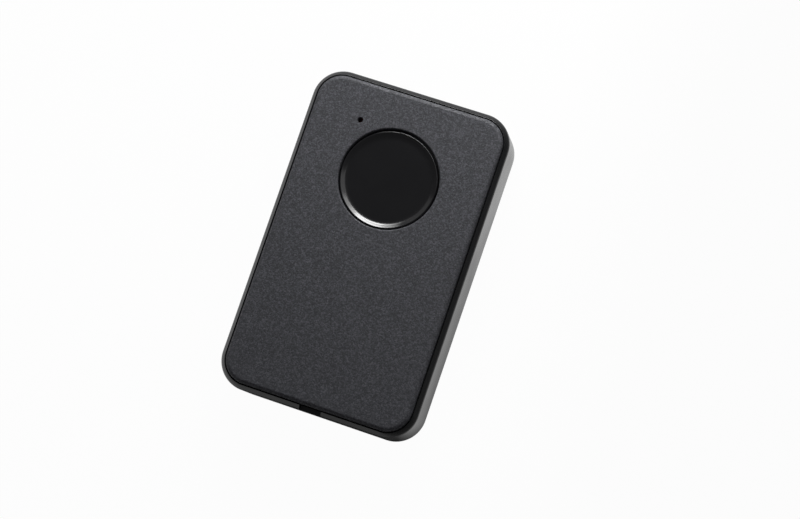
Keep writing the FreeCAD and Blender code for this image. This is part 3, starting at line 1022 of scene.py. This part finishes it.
COVER_GRAIN = GrainedPlastic("cover_grained_charcoal", (0.0515, 0.0525, 0.0595))
COVER_INSIDE = SatinPlastic("cover_inside_charcoal", (0.040, 0.041, 0.046), roughness=0.4)
TUB_SATIN = SatinPlastic("tub_satin_black", (0.010, 0.0102, 0.0112), roughness=0.26)
BUTTON_BLACK = PolishedPlastic("button_polished_black", (0.0055, 0.0055, 0.0062), roughness=0.2)
LENS_TINTED = TintedEpoxy("lamp_tinted_resin", (0.55, 0.05, 0.04))
STEEL = RolledMetal("rolled_steel", (0.60, 0.60, 0.58))
NICKEL = RolledMetal("nickel_plate", (0.74, 0.71, 0.66), roughness=0.22)
TIN = RolledMetal("tin_plate", (0.72, 0.72, 0.70), roughness=0.34, lines=(6.0, 1.0, 1.0))
ALUMINIUM = RolledMetal("drawn_aluminium", (0.80, 0.80, 0.82), roughness=0.3, lines=(1.0, 1.0, 9.0))
COPPER = RolledMetal("masked_copper", (0.35, 0.33, 0.12), roughness=0.35)
SOLDER = CastSolder("set_solder", (0.66, 0.67, 0.68))
BOARD = BoardMask("board_green_lacquer", (0.018, 0.115, 0.045))
CHIP = MouldedEpoxy("chip_black_resin", (0.022, 0.022, 0.024))
SWITCH = MouldedEpoxy("switch_black_nylon", (0.016, 0.016, 0.017), roughness=0.42)
PLUNGER = MouldedEpoxy("plunger_black_acetal", (0.026, 0.026, 0.027), roughness=0.36)
RESISTOR = MouldedEpoxy("resistor_black_glaze", (0.020, 0.020, 0.022), roughness=0.25)
CERAMIC = MouldedEpoxy("capacitor_tan_ceramic", (0.42, 0.28, 0.16), roughness=0.38)
NYLON = MouldedEpoxy("seal_white_nylon", (0.70, 0.70, 0.64), roughness=0.45)
FILM = ShrunkFilm("cell_plain_film", (0.50, 0.51, 0.54))


@dataclass
class CaseTub:
    """The smooth tub: back, walls, sloped rim, ledge, supports inside and pry notch."""

    back_rounding: float = 0.6 * MM
    back_strips: int = 8
    rim_width: float = 0.95 * MM
    rim_rise: float = 1.10 * MM
    outer_rounding: float = 0.35 * MM
    inner_rounding: float = 0.12 * MM
    rim_strips: int = 5
    wall: float = 2.0 * MM
    floor_z: float = 1.2 * MM
    board_z: float = 2.4 * MM
    post_span: float = 3.0 * MM
    post_rib: float = 1.0 * MM
    peg_radius: float = 0.8 * MM
    peg_z: float = 4.4 * MM
    peg_rounding: float = 0.3 * MM
    peg_sides: int = 32
    locating_rib: Pair = (0.5 * MM, 1.0 * MM)
    locating_rib_y: float = 20.0 * MM
    support_rounding: float = 0.08 * MM
    notch_width: float = 4.4 * MM
    notch_depth: float = 1.9 * MM
    notch_z: float = 10.4 * MM
    notch_rounding: float = 0.25 * MM
    pocket_depths: Pair = (0.4 * MM, 0.36 * MM)
    pocket_length: float = 5.3 * MM
    pocket_heights: Pair = (9.35 * MM, 10.35 * MM)
    pocket_rounding: float = 0.08 * MM
    low: Vector = field(init=False)
    high: Vector = field(init=False)

    def __post_init__(self) -> None:
        """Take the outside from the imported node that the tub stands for."""
        self.low, self.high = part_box("rear_tub")

    def shell(self) -> Workpiece:
        """A rounded slab, stepped in at the top into rim, groove wall, ledge and hollow.

        Returns:
            The open tub.
        """
        edge_z = self.high.z - self.rim_rise
        tub = Workpiece.slab("tub_shell", self.high.x, self.high.y, 0.0, edge_z, CASE_CORNER)
        tub.bevel(level_at(0.0), self.back_rounding, self.back_strips)
        tub.step_in(edge_z, self.rim_width, self.rim_rise)
        tub.sink(self.high.z, self.high.z - LEDGE_Z)
        tub.step_in(LEDGE_Z, self.wall - self.rim_width, 0.0)
        tub.sink(LEDGE_Z, LEDGE_Z - self.floor_z)
        tub.bevel(level_at(edge_z), self.outer_rounding, self.rim_strips)
        return tub.bevel(level_at(self.high.z), self.inner_rounding, self.rim_strips)

    def notch(self) -> Workpiece:
        """The room of the pry notch, with its lower corners rounded.

        Returns:
            The room, as a piece to cut with.
        """
        half = self.notch_width / 2
        low = (-half, self.low.y - OVERSHOOT, self.notch_z)
        high = (half, self.low.y + self.notch_depth, self.high.z + OVERSHOOT)
        lowest = level_at(self.notch_z)
        room = Workpiece.block("notch_room", low, high)
        return room.bevel(
            lambda a, b: near(a.x, b.x) and lowest(a, b), self.notch_rounding, FINE_STRIPS
        )

    def pockets(self) -> list[Workpiece]:
        """The four pockets in the long walls that the cover's hooks fall into.

        Returns:
            The pockets' room, as pieces to cut with.
        """
        (inward, outward), half = self.pocket_depths, self.pocket_length / 2
        inner = self.high.x - self.wall
        low = (inner - inward, HOOK_Y - half, self.pocket_heights[0])
        high = (inner + outward, HOOK_Y + half, self.pocket_heights[1])
        pocket = Workpiece.block("hook_pocket", low, high)
        pocket.bevel(upright, self.pocket_rounding, SOFT_STRIPS)
        return pocket.at_both_ends(HOOK_Y)

    def posts(self) -> list[Workpiece]:
        """The four cross posts under the board, two of them with a round-ended peg.

        Returns:
            The posts and pegs.
        """
        half, rib = self.post_span / 2, self.post_rib / 2
        low = (-half, -rib, self.floor_z - OVERLAP)
        along = Workpiece.block("support_post", low, (half, rib, self.board_z))
        along.soften(self.support_rounding)
        post = along.copied(turn=90.0).join(along)
        rings = [(self.peg_radius, self.board_z - OVERLAP)]
        for inset, rise in quarter_round(self.peg_rounding, FINE_STRIPS):
            rings.append((self.peg_radius - inset, self.peg_z - self.peg_rounding + rise))
        peg = Workpiece.turned("support_peg", (0.0, 0.0), rings, self.peg_sides)
        x, y = POST_PLACE
        made = [post.copied((side * x, end * y, 0.0)) for side in (-1, 1) for end in (-1, 1)]
        made += [peg.copied((end * x, end * y, 0.0)) for end in (-1, 1)]
        post.discard()
        peg.discard()
        return made

    def ribs(self) -> list[Workpiece]:
        """The ribs on the long walls that hold the board in its place.

        Returns:
            The ribs, three on each wall.
        """
        depth, width = self.locating_rib
        wall_x = self.high.x - self.wall
        low = (wall_x - depth, -width / 2, self.floor_z - OVERLAP)
        rib = Workpiece.block("locating_rib", low, (wall_x + OVERLAP, width / 2, self.peg_z))
        rib.soften(self.support_rounding)
        made = []
        for end in (-1, 0, 1):
            made.append(rib.copied((0.0, end * self.locating_rib_y, 0.0)))
            made.append(made[-1].copied(turn=180.0))
        rib.discard()
        return made

    def build(self) -> None:
        """Model the tub, dress it and hand it over."""
        tub = self.shell().cut(self.notch(), *self.pockets())
        tub.join(*self.posts(), *self.ribs()).dress(TUB_SATIN)
        tub.finish(Body.CASE, "tub_plastic", "rear_tub")


@dataclass
class FrontCover:
    """The grained cover: plate with button hole and pinhole, lip, hooks, collar, tube and posts."""

    edge_rounding: float = 0.9 * MM
    edge_strips: int = 8
    skin_z: float = 11.7 * MM
    skin_overlap: float = 0.05 * MM
    lip_from_wall: float = 2.15 * MM
    lip_thickness: float = 1.0 * MM
    lip_z: float = 9.2 * MM
    slot_width: float = 0.6 * MM
    slot_reach: Pair = (1.5 * MM, 0.5 * MM)
    hook_size: Triple = (0.4 * MM, 5.0 * MM, 0.7 * MM)
    hook_root: float = 0.2 * MM
    hook_z: float = 9.5 * MM
    hook_slope: float = 0.34 * MM
    hole_radius: float = 9.82 * MM
    hole_rounding: float = 0.3 * MM
    pinhole_radius: float = 0.55 * MM
    pinhole_rounding: float = 0.06 * MM
    tube_sides: int = 40
    collar_radii: Pair = (10.62 * MM, 11.32 * MM)
    collar_z: float = 9.8 * MM
    key_room: Pair = (11.17 * MM, 2.4 * MM)
    tube_radii: Pair = (1.65 * MM, 2.3 * MM)
    tube_z: float = 7.15 * MM
    post_span: float = 2.6 * MM
    post_rib: float = 1.0 * MM
    post_z: float = 3.45 * MM
    post_rounding: float = 0.08 * MM
    peg_room: Pair = (0.9 * MM, 4.55 * MM)
    peg_sides: int = 32
    cell_middle: Pair = (-20.0 * MM, 7.4 * MM)
    saddle_radius: float = 4.05 * MM
    saddle_sides: int = 96
    saddle_rib: Pair = (8.0 * MM, 1.2 * MM)
    saddle_z: float = 9.7 * MM
    high: Vector = field(init=False)
    corner: float = field(init=False)
    lip_inset: float = field(init=False)
    button: Pair = field(init=False)
    lamp: Pair = field(init=False)

    def __post_init__(self) -> None:
        """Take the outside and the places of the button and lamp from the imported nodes."""
        self.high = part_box("front_cover")[1]
        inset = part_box("rear_tub")[1].x - self.high.x
        self.corner = CASE_CORNER - inset
        self.lip_inset = self.lip_from_wall - inset
        self.button = (0.0, middle_of(*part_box("button_cap"))[1])
        self.lamp = middle_of(*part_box("lamp_lens"))

    def slab(self, name: str, inset: float, low_z: float, high_z: float) -> Workpiece:
        """A slab of the cover's own outline, drawn in all round.

        Args:
            name: The piece's name.
            inset: How far it is drawn in.
            low_z: The height of its lower face.
            high_z: The height of its upper face.

        Returns:
            The new piece.
        """
        half_x, half_y = self.high.x - inset, self.high.y - inset
        return Workpiece.slab(name, half_x, half_y, low_z, high_z, self.corner - inset)

    def plate(self) -> Workpiece:
        """The plate: a slab with a rounded upper edge, pierced for button and lamp.

        Returns:
            The plate without its lip.
        """
        plate = self.slab("cover_shell", 0.0, LEDGE_Z, self.high.z)
        plate.bevel(level_at(self.high.z), self.edge_rounding, self.edge_strips)
        inner = self.lip_inset + self.lip_thickness
        top = self.high.z + OVERSHOOT
        plate.cut(
            self.slab("cover_room", inner, LEDGE_Z - OVERSHOOT, self.skin_z),
            Workpiece.rod(
                "button_room", self.button, self.hole_radius, LEDGE_Z, top, TURNED_SIDES
            ),
            Workpiece.rod(
                "pinhole_room", self.lamp, self.pinhole_radius, LEDGE_Z, top, self.tube_sides
            ),
        )
        for middle, radius, rounding in (
            (self.button, self.hole_radius, self.hole_rounding),
            (self.lamp, self.pinhole_radius, self.pinhole_rounding),
        ):
            plate.bevel(self.on_rim(middle, radius), rounding, FINE_STRIPS)
        return plate

    def on_rim(self, middle: Pair, radius: float) -> EdgeTest:
        """A test that finds the upper edge of a round hole.

        Args:
            middle: The hole's x and y.
            radius: Its radius.

        Returns:
            A function that says of an edge's two ends whether it is on that edge.
        """
        in_face = level_at(self.high.z)

        def on_circle(end: Vector) -> bool:
            """Whether a place is as far from the middle as the hole's wall."""
            return near(math.hypot(end.x - middle[0], end.y - middle[1]), radius)

        return lambda a, b: in_face(a, b) and on_circle(a) and on_circle(b)

    def lip(self) -> Workpiece:
        """The locating lip under the plate: a hollow slab, slotted beside each hook.

        Returns:
            The lip with its four hooks.
        """
        inner = self.lip_inset + self.lip_thickness
        lip = self.slab("cover_lip", self.lip_inset, self.lip_z, LEDGE_Z + OVERLAP)
        lip.cut(self.slab("lip_room", inner, self.lip_z - OVERSHOOT, LEDGE_Z + OVERSHOOT))
        reach, length, height = self.hook_size
        face_x = self.high.x - self.lip_inset
        inward, outward = self.slot_reach
        half = self.slot_width / 2
        slots = []
        for side, place, end in product((-1, 1), (-HOOK_Y, HOOK_Y), (-1, 1)):
            middle = place + end * (length / 2 + half)
            near_x, far_x = sorted((side * (face_x - inward), side * (face_x + outward)))
            low = (near_x, middle - half, self.lip_z - OVERSHOOT)
            slots.append(Workpiece.block("tongue_slot", low, (far_x, middle + half, LEDGE_Z)))
        lip.cut(*slots)
        low = (face_x - self.hook_root, HOOK_Y - length / 2, self.hook_z)
        high = (face_x + reach, HOOK_Y + length / 2, self.hook_z + height)
        hook = Workpiece.block("cover_hook", low, high)
        lowest = level_at(self.hook_z)
        hook.bevel(
            lambda a, b: lowest(a, b) and near(min(a.x, b.x), high[0]),
            self.hook_slope,
            strips=1,
        )
        return lip.join(*hook.at_both_ends(HOOK_Y))

    def guides(self) -> list[Workpiece]:
        """The collar round the button's flange, and the tube over the lamp.

        Returns:
            The collar and the tube.
        """
        top = self.skin_z + self.skin_overlap
        through = top + OVERSHOOT
        inner, outer = self.collar_radii
        reach, width = self.key_room
        x, y = self.button
        collar = Workpiece.rod(
            "button_collar", self.button, outer, self.collar_z, top, TURNED_SIDES
        )
        key = Workpiece.block(
            "key_room",
            (x, y - width / 2, self.collar_z - OVERSHOOT),
            (reach, y + width / 2, through),
        )
        low = self.tube_z - OVERSHOOT
        bore = Workpiece.rod("collar_bore", self.button, inner, low, through, TURNED_SIDES)
        collar.cut(bore.copied(), key)
        inner, outer = self.tube_radii
        sides = self.tube_sides
        tube = Workpiece.rod("lamp_tube", self.lamp, outer, self.tube_z, top, sides)
        lamp_room = Workpiece.rod("lamp_room", self.lamp, inner, low, through, sides)
        collar.cut(lamp_room.copied())
        tube.cut(bore, lamp_room)
        return [collar, tube]

    def posts(self) -> list[Workpiece]:
        """The four cross posts that hold the board down, two of them with room for a peg.

        Returns:
            The posts' arms, two for each post.
        """
        half, rib = self.post_span / 2, self.post_rib / 2
        high = (half, rib, self.skin_z + self.skin_overlap)
        along = Workpiece.block("hold_down", (-half, -rib, self.post_z), high)
        along.soften(self.post_rounding)
        radius, top = self.peg_room
        low = self.post_z - OVERSHOOT
        x, y = POST_PLACE
        made = []
        for arm in (along, along.copied(turn=90.0)):
            made += [arm.copied((side * x, -side * y, 0.0)) for side in (-1, 1)]
            arm.cut(Workpiece.rod("peg_room", (0.0, 0.0), radius, low, top, self.peg_sides))
            made += [arm.copied((side * x, side * y, 0.0)) for side in (-1, 1)]
            arm.discard()
        return made

    def saddles(self) -> list[Workpiece]:
        """The two ribs over the cell, hollowed to its round.

        Returns:
            The ribs.
        """
        cell_y, cell_z = self.cell_middle
        place, thickness = self.saddle_rib
        low = (place - thickness / 2, cell_y - self.saddle_radius, self.saddle_z)
        high = (
            place + thickness / 2, cell_y + self.saddle_radius, self.skin_z + self.skin_overlap
        )
        saddle = Workpiece.block("cell_saddle", low, high)
        room = Workpiece.lying_rod(
            "cell_room",
            (place, cell_y, cell_z),
            self.saddle_radius,
            thickness + 2 * OVERSHOOT,
            self.saddle_sides,
        )
        saddle.cut(room)
        return [saddle, saddle.copied((-2 * place, 0.0, 0.0))]

    def build(self) -> None:
        """Model the cover, dress its face grained and its inside plain, and hand it over."""
        inside = [self.lip(), *self.guides(), *self.posts(), *self.saddles()]
        for piece in inside:
            piece.dress(COVER_INSIDE)
        cover = self.plate().dress(COVER_GRAIN).join(*inside)
        cover.finish(Body.CASE, "cover_plastic", "front_cover")


@dataclass
class PushButton:
    """The dished cap with its flange, key, pusher and ribs.

    It has play in its hole, and lies a little towards the notched end.
    """

    sag: float = 0.1 * MM
    radius: float = 9.6 * MM
    flange_radius: float = 10.42 * MM
    flange_heights: Pair = (10.85 * MM, 11.6 * MM)
    recess_radius: float = 8.1 * MM
    under_z: float = 11.1 * MM
    rim_rounding: float = 0.55 * MM
    crest_radius: float = 9.32 * MM
    crest_rounding: float = 0.10 * MM
    rim_strips: int = 6
    dish_depth: float = 0.6 * MM
    dish_slope: float = 34.0
    dish_blend: float = 1.7 * MM
    dish_strips: int = 14
    key: Pair = (10.97 * MM, 2.0 * MM)
    key_drop: float = 0.001 * MM
    pusher_radius: float = 2.2 * MM
    pusher_slope: float = 0.15 * MM
    pusher_sides: int = 64
    rib: Triple = (7.6 * MM, 0.8 * MM, 1.2 * MM)
    softness: float = 0.06 * MM
    low: Vector = field(init=False)
    high: Vector = field(init=False)
    middle: Pair = field(init=False)

    def __post_init__(self) -> None:
        """Take the top, the pusher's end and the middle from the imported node."""
        self.low, self.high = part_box("button_cap")
        self.middle = (0.0, middle_of(self.low, self.high)[1] - self.sag)

    def rings(self) -> list[Ring]:
        """The cap's outline from its underside, over flange and rim, down to the dish's floor.

        Returns:
            (radius, height) pairs.
        """
        low, high = self.flange_heights
        top = self.high.z
        outline = [
            (self.recess_radius, self.under_z),
            (self.recess_radius, low),
            (self.flange_radius, low),
            (self.flange_radius, high),
            (self.radius, high),
        ]
        shoulder = self.radius - self.rim_rounding
        crest = (self.crest_radius, top - self.crest_rounding)
        reach = self.rim_rounding - self.crest_rounding
        lean = math.degrees(math.asin((self.crest_radius - shoulder) / reach))
        shoulder_z = crest[1] - reach * math.cos(math.radians(lean))
        strips, slope = self.rim_strips, self.dish_slope
        outline += bowed((shoulder, shoulder_z), self.rim_rounding, 90.0, lean, strips)
        outline += bowed(crest, self.crest_rounding, lean, -slope, strips)[1:]
        last_radius, last_z = outline[-1]
        blend_z = top - self.dish_depth + self.dish_blend
        foot_z = blend_z - self.dish_blend * math.cos(math.radians(slope))
        flank = (last_z - foot_z) / math.tan(math.radians(slope))
        foot = last_radius - flank - self.dish_blend * math.sin(math.radians(slope))
        outline += bowed((foot, blend_z), -self.dish_blend, -slope, 0.0, self.dish_strips)
        return outline

    def pusher(self) -> Workpiece:
        """The round pusher in the middle, its end sloped off.

        Returns:
            The pusher.
        """
        slope = self.pusher_slope
        rings = [
            (self.pusher_radius - slope, self.low.z),
            (self.pusher_radius, self.low.z + slope),
            (self.pusher_radius, self.under_z + OVERLAP),
        ]
        return Workpiece.turned("button_pusher", self.middle, rings, self.pusher_sides)

    def build(self) -> None:
        """Model the cap with what is under it, dress it and hand it over."""
        cap = Workpiece.turned("button_dish", self.middle, self.rings())
        pusher = self.pusher()
        y = self.middle[1]
        reach, width = self.key
        low, high = self.flange_heights
        key = Workpiece.block(
            "button_key",
            (self.radius, y - width / 2, low),
            (reach, y + width / 2, high - self.key_drop),
        ).soften(self.softness)
        length, thickness, drop = self.rib
        rib = Workpiece.block(
            "button_rib",
            (-length, -thickness / 2, self.under_z - drop),
            (length, thickness / 2, self.under_z + OVERLAP),
        ).soften(self.softness)
        ribs = [rib.copied((0.0, y, 0.0), turn) for turn in (0.0, 90.0)]
        rib.discard()
        cap.join(pusher, key, *ribs).dress(BUTTON_BLACK)
        cap.finish(Body.BUTTON, "button_gloss", "button_cap")


@dataclass
class IndicatorLamp:
    """The round-ended lens under the pinhole."""

    radius: float = 1.45 * MM
    flange_radius: float = 1.9 * MM
    flange_height: float = 0.8 * MM
    dome_strips: int = 10
    sides: int = 64

    def build(self) -> None:
        """Turn the lens, dress it and hand it over."""
        low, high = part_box("lamp_lens")
        shoulder = low.z + self.flange_height
        rings = [
            (self.flange_radius, low.z),
            (self.flange_radius, shoulder),
            (self.radius, shoulder),
        ]
        for inset, rise in quarter_round(self.radius, self.dome_strips)[:-1]:
            rings.append((self.radius - inset, high.z - self.radius + rise))
        lens = Workpiece.turned("lamp_dome", middle_of(low, high), rings, self.sides)
        lens.dress(LENS_TINTED).finish(Body.CASE, "lamp_clear", "lamp_lens")


@dataclass
class SnapDome:
    """The switch's thin steel dome, which flattens as the plunger goes down."""

    thickness: float = 0.12 * MM
    crown_lean: float = 3.0
    strips: int = 8
    sides: int = 48
    joint: str = "plunger_travel"

    def rings(self, radius: float, low_z: float, high_z: float) -> list[Ring]:
        """The outline of a shell cut from a hollow ball, with a small flat crown.

        Args:
            radius: The radius of its foot.
            low_z: The height of its foot.
            high_z: The height of its crown.

        Returns:
            (radius, height) pairs, up its inside and down to its foot, then up its outside.
        """
        rise = high_z - low_z
        ball = (radius**2 + rise**2) / (2 * rise)
        centre = (0.0, high_z - ball)
        under = ball - self.thickness
        outer_lean = math.degrees(math.asin(radius / ball))
        inner_lean = math.degrees(math.acos((ball - rise) / under))
        inside = bowed(centre, under, self.crown_lean, inner_lean, self.strips)
        return inside + bowed(centre, ball, outer_lean, self.crown_lean, self.strips)

    def build(self) -> None:
        """Turn the dome, dress it and hand it over."""
        low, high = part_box("switch_dome")
        middle, rise = middle_of(low, high), high.z - low.z
        rings = self.rings((high.x - low.x) / 2, low.z, high.z)
        dome = Workpiece.turned("snap_dome", middle, rings, self.sides).dress(STEEL)
        shell = dome.finish(Body.CASE, "steel", "switch_dome")
        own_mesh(shell)


@dataclass
class InnerWorks:
    """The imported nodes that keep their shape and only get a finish."""

    finishes: dict[str, Finish] = field(
        default_factory=lambda: {
            "circuit_board": BOARD,
            "antenna_trace": COPPER,
            "switch_base": SWITCH,
            "switch_plate": STEEL,
            "switch_plunger": PLUNGER,
            "switch_legs": TIN,
            "lamp_leads": TIN,
            "cell_can": STEEL,
            "cell_sleeve": FILM,
            "cell_seal": NYLON,
            "cell_cap": NICKEL,
            "positive_contact": NICKEL,
            "negative_contact": NICKEL,
            "resonator_can": NICKEL,
            "resonator_pins": TIN,
            "encoder_chip": CHIP,
            "encoder_leads": TIN,
            "transistor": CHIP,
            "transistor_leads": TIN,
            "chip_resistors": RESISTOR,
            "chip_capacitors": CERAMIC,
            "chip_part_ends": TIN,
            "buffer_foot": SWITCH,
            "buffer_can": ALUMINIUM,
            "solder_joints": SOLDER,
        }
    )

    def build(self) -> None:
        """Give each node its finish."""
        for name, finish in self.finishes.items():
            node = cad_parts[name]
            node.data.materials.clear()
            node.data.materials.append(finish.material())
            LOG.info("%s: finished as %s", name, finish.name)


@dataclass(frozen=True)
class Fade:
    """How the light that a mirror sees on the floor changes over a stretch of it."""

    start: float
    end: float
    first: float
    last: float

    def over(self, graph: Graph, value: Socket) -> Socket:
        """The light's share at each value of a distance or a place."""
        return graph.ranged(value, self.start, self.end, self.first, self.last)


@dataclass
class Softbox:
    """One rectangular lamp that faces a point of the object."""

    name: str
    azimuth: float
    elevation: float
    distance: float
    size: Pair
    radiance: float
    target: Triple = (0.0, 0.0, 13.0 * MM)

    def build(self) -> None:
        """Hang the lamp, with its power worked out from the brightness of its face."""
        lamp = bpy.data.lights.new(self.name, "AREA")
        lamp.shape = "RECTANGLE"
        lamp.size, lamp.size_y = self.size
        lamp.energy = self.radiance * math.pi * self.size[0] * self.size[1]
        obj = bpy.data.objects.new(self.name, lamp)
        bpy.context.scene.collection.objects.link(obj)
        azimuth, elevation = math.radians(self.azimuth), math.radians(self.elevation)
        flat = math.cos(elevation)
        away = Vector((flat * math.cos(azimuth), flat * math.sin(azimuth), math.sin(elevation)))
        obj.location = Vector(self.target) + away * self.distance
        obj.rotation_euler = away.to_track_quat("Z", "Y").to_euler()
        obj.visible_camera = False
        LOG.info("%s: %.2f W at %.0f degrees up", self.name, lamp.energy, self.elevation)


@dataclass
class Studio:
    """White floor and low backdrop, a key lamp of three nested faces, two fills and a dim room.

    A camera sees the floor as plain white. A mirror sees painted shade in the floor's glow: a
    painted contact shadow at the foot of the case, the case's painted shadow past its notched end,
    painted dusk by its lower right corner, and painted darkening to the right of it, beyond its
    indicator end and far away. The paper's colour is painted darker to the right of the case too.
    """

    floor_radius: float = 1.9
    floor_sides: int = 96
    backdrop_height: float = 0.40
    paper_roughness: float = 0.9
    paper: Colour = (0.8, 0.8, 0.8)
    # Painted shade: the paper's colour to the right of the case, so that less light bounces from
    # there.
    painted_shade_paper: Colour = (0.12, 0.12, 0.12)
    whiteness: float = 0.97
    mirrored_whiteness: float = 0.95
    # Painted shade in the glow that mirrors see: the case's painted shadow, painted dusk, and
    # painted darkening far away, to the right and towards both ends.
    shadow_middle: Triple = (0.0, -45.0 * MM, 0.0)
    shadow: Fade = Fade(20.5 * MM, 27.0 * MM, 0.1, 1.0)
    far_floor: Fade = Fade(300.0 * MM, 600.0 * MM, 1.0, 0.3)
    dusk_middle: Triple = (60.0 * MM, -40.0 * MM, 0.0)
    dusk: Fade = Fade(52.0 * MM, 69.0 * MM, 0.71, 1.0)
    painted_shade_side: Fade = Fade(24.0 * MM, 55.0 * MM, 1.0, 0.35)
    dim_end: Fade = Fade(30.0 * MM, 70.0 * MM, 1.0, 0.5)
    low_end: Fade = Fade(-90.0 * MM, -45.0 * MM, 0.75, 1.0)
    # A painted contact shadow at the case's foot, in the glow that mirrors see.
    contact_reach: float = 2.4 * MM
    contact_fill: Fade = Fade(-28.0 * MM, 28.0 * MM, 0.45, 1.0)
    contact_end: Fade = Fade(-34.5 * MM, -31.0 * MM, 0.2, 1.0)
    room: Colour = (0.10, 0.10, 0.104)
    lamps: tuple[Softbox, ...] = (
        Softbox("key_middle", 96.0, 26.0, 0.20, (0.10, 0.06), 10.0),
        Softbox("key_edge", 96.0, 26.0, 0.205, (0.17, 0.08), 3.2),
        Softbox("key_surround", 92.0, 27.0, 0.21, (0.26, 0.10), 2.4),
        Softbox("fill_right", 44.0, 36.0, 0.25, (0.16, 0.16), 0.6),
        Softbox("fill_left", 148.0, 21.0, 0.25, (0.14, 0.14), 0.24),
    )

    def contact(self, graph: Graph, along: Socket) -> Socket:
        """The thin painted shadow round the case's foot, in the glow that mirrors see, deeper
        towards the end away from the key lamp.

        Args:
            graph: The floor's node tree.
            along: The socket of the place's y.

        Returns:
            The socket of the light's share.
        """
        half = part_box("rear_tub")[1]
        outside = graph.beyond(half.x - CASE_CORNER, half.y - CASE_CORNER)
        fades = (self.contact_fill, self.contact_end)
        deepest = graph.combined(Sum.PRODUCT, *(fade.over(graph, along) for fade in fades))
        reach = CASE_CORNER + self.contact_reach
        return graph.ranged(outside, CASE_CORNER, reach, deepest, 1.0)

    def mirrored(self, graph: Graph, across: Socket, along: Socket) -> Socket:
        """How bright each place of the floor is in a mirror, with painted shadow and shade in it.

        Args:
            graph: The floor's node tree.
            across: The socket of the place's x.
            along: The socket of the place's y.

        Returns:
            The brightness's socket, 1 where it is white.
        """
        from_shadow = graph.distance(self.shadow_middle)
        from_dusk = graph.distance(self.dusk_middle)
        return graph.combined(
            Sum.PRODUCT,
            self.shadow.over(graph, from_shadow),
            self.dusk.over(graph, from_dusk),
            self.far_floor.over(graph, from_shadow),
            self.painted_shade_side.over(graph, across),
            self.dim_end.over(graph, along),
            self.low_end.over(graph, along),
            self.contact(graph, along),
        )

    def white_paper(self) -> bpy.types.Material:
        """Paper that is plain white to the camera and shaded, with painted shade in a mirror and in
        its colour.

        Returns:
            The floor's and backdrop's material.
        """
        graph = Graph("studio_white_paper")
        split = graph.add("ShaderNodeSeparateXYZ")
        graph.link(graph.place, split.inputs["Vector"])
        across, along = split.outputs["X"], split.outputs["Y"]
        # Painted shade: the paper's colour darkens to the right of the case, so less light bounces
        # from there onto it.
        side = graph.ranged(across, self.painted_shade_side.start, self.painted_shade_side.end, 0.0, 1.0)
        graph.fix(Roughness=self.paper_roughness)
        graph.drive(Base_Color=graph.blended(side, self.paper, self.painted_shade_paper))
        rays = graph.add("ShaderNodeLightPath").outputs
        shares = {
            "Is Glossy Ray": self.mirrored_whiteness,
            "Is Camera Ray": self.whiteness,
            "Is Transmission Ray": self.mirrored_whiteness,
        }
        seen = graph.combined(
            Sum.TOTAL,
            *(graph.ranged(rays[ray], 0.0, 1.0, 0.0, share) for ray, share in shares.items()),
            clamp=True,
        )
        # Mirrors see the glow with painted shadow and shade in it.
        strength = graph.combined(
            Sum.GREATEST, rays["Is Camera Ray"], self.mirrored(graph, across, along)
        )
        glow = graph.add("ShaderNodeEmission")
        graph.link(strength, glow.inputs["Strength"])
        mixed = graph.add("ShaderNodeMixShader")
        graph.link(seen, mixed.inputs["Fac"])
        graph.link(graph.shader.outputs["BSDF"], mixed.inputs[1])
        graph.link(glow.outputs["Emission"], mixed.inputs[2])
        graph.link(mixed.outputs["Shader"], graph.output.inputs["Surface"])
        return graph.made

    def build(self) -> None:
        """Lay the floor, stand the backdrop, hang the lamps and dim the room."""
        floor = Workpiece.disc(
            "studio_floor", (0.0, 0.0, 0.0), self.floor_radius, self.floor_sides
        )
        floor.pick_edges(lambda a, b: True)
        rise = (0.0, 0.0, self.backdrop_height)
        bpy.ops.mesh.extrude_edges_move(TRANSFORM_OT_translate={"value": rise})
        floor.leave()
        floor.obj.data.materials.append(self.white_paper())
        for lamp in self.lamps:
            lamp.build()
        world = bpy.data.worlds.new("dim_room")
        world.use_nodes = True
        world.node_tree.nodes["Background"].inputs["Color"].default_value = (*self.room, 1.0)
        bpy.context.scene.world = world
        bpy.context.scene.view_settings.view_transform = "Standard"
        LOG.info("studio: floor, backdrop and %d lamps", len(self.lamps))


@dataclass
class PhotoCamera:
    """A long lens nearly over the face, placed as the photograph's was."""

    turns: Triple = (-5.448, -10.116, -18.007)
    offset: Pair = (6.92 * MM, -1.67 * MM)
    distance: float = 400.0 * MM
    face_z: float = 13.0 * MM
    sensor: float = 36.0
    lens: float = 94.5
    nearest: float = 10.0 * MM

    def build(self) -> None:
        """Place the camera and make it the scene's."""
        x, y, z = (
            Matrix.Rotation(math.radians(turn), 3, axis) for turn, axis in zip(self.turns, "XYZ")
        )
        back = (z @ y @ x).transposed()
        data = bpy.data.cameras.new("photo_camera")
        data.sensor_width = self.sensor
        data.lens = self.lens
        data.clip_start = self.nearest
        camera = bpy.data.objects.new("photo_camera", data)
        bpy.context.scene.collection.objects.link(camera)
        face = Vector((0.0, 0.0, self.face_z))
        camera.location = back @ Vector((*self.offset, self.distance)) + face
        camera.rotation_euler = back.to_euler()
        bpy.context.scene.camera = camera
        LOG.info("photo_camera: %.0f mm lens", self.lens)


def main() -> None:
    """Build the camera, the pieces and the studio, in that order."""
    logging.basicConfig(level=logging.INFO, format="%(name)s: %(message)s")
    for assembly in (
        PhotoCamera(),
        CaseTub(),
        FrontCover(),
        PushButton(),
        IndicatorLamp(),
        SnapDome(),
        InnerWorks(),
        Studio(),
    ):
        assembly.build()


if __name__ == "__main__":
    main()
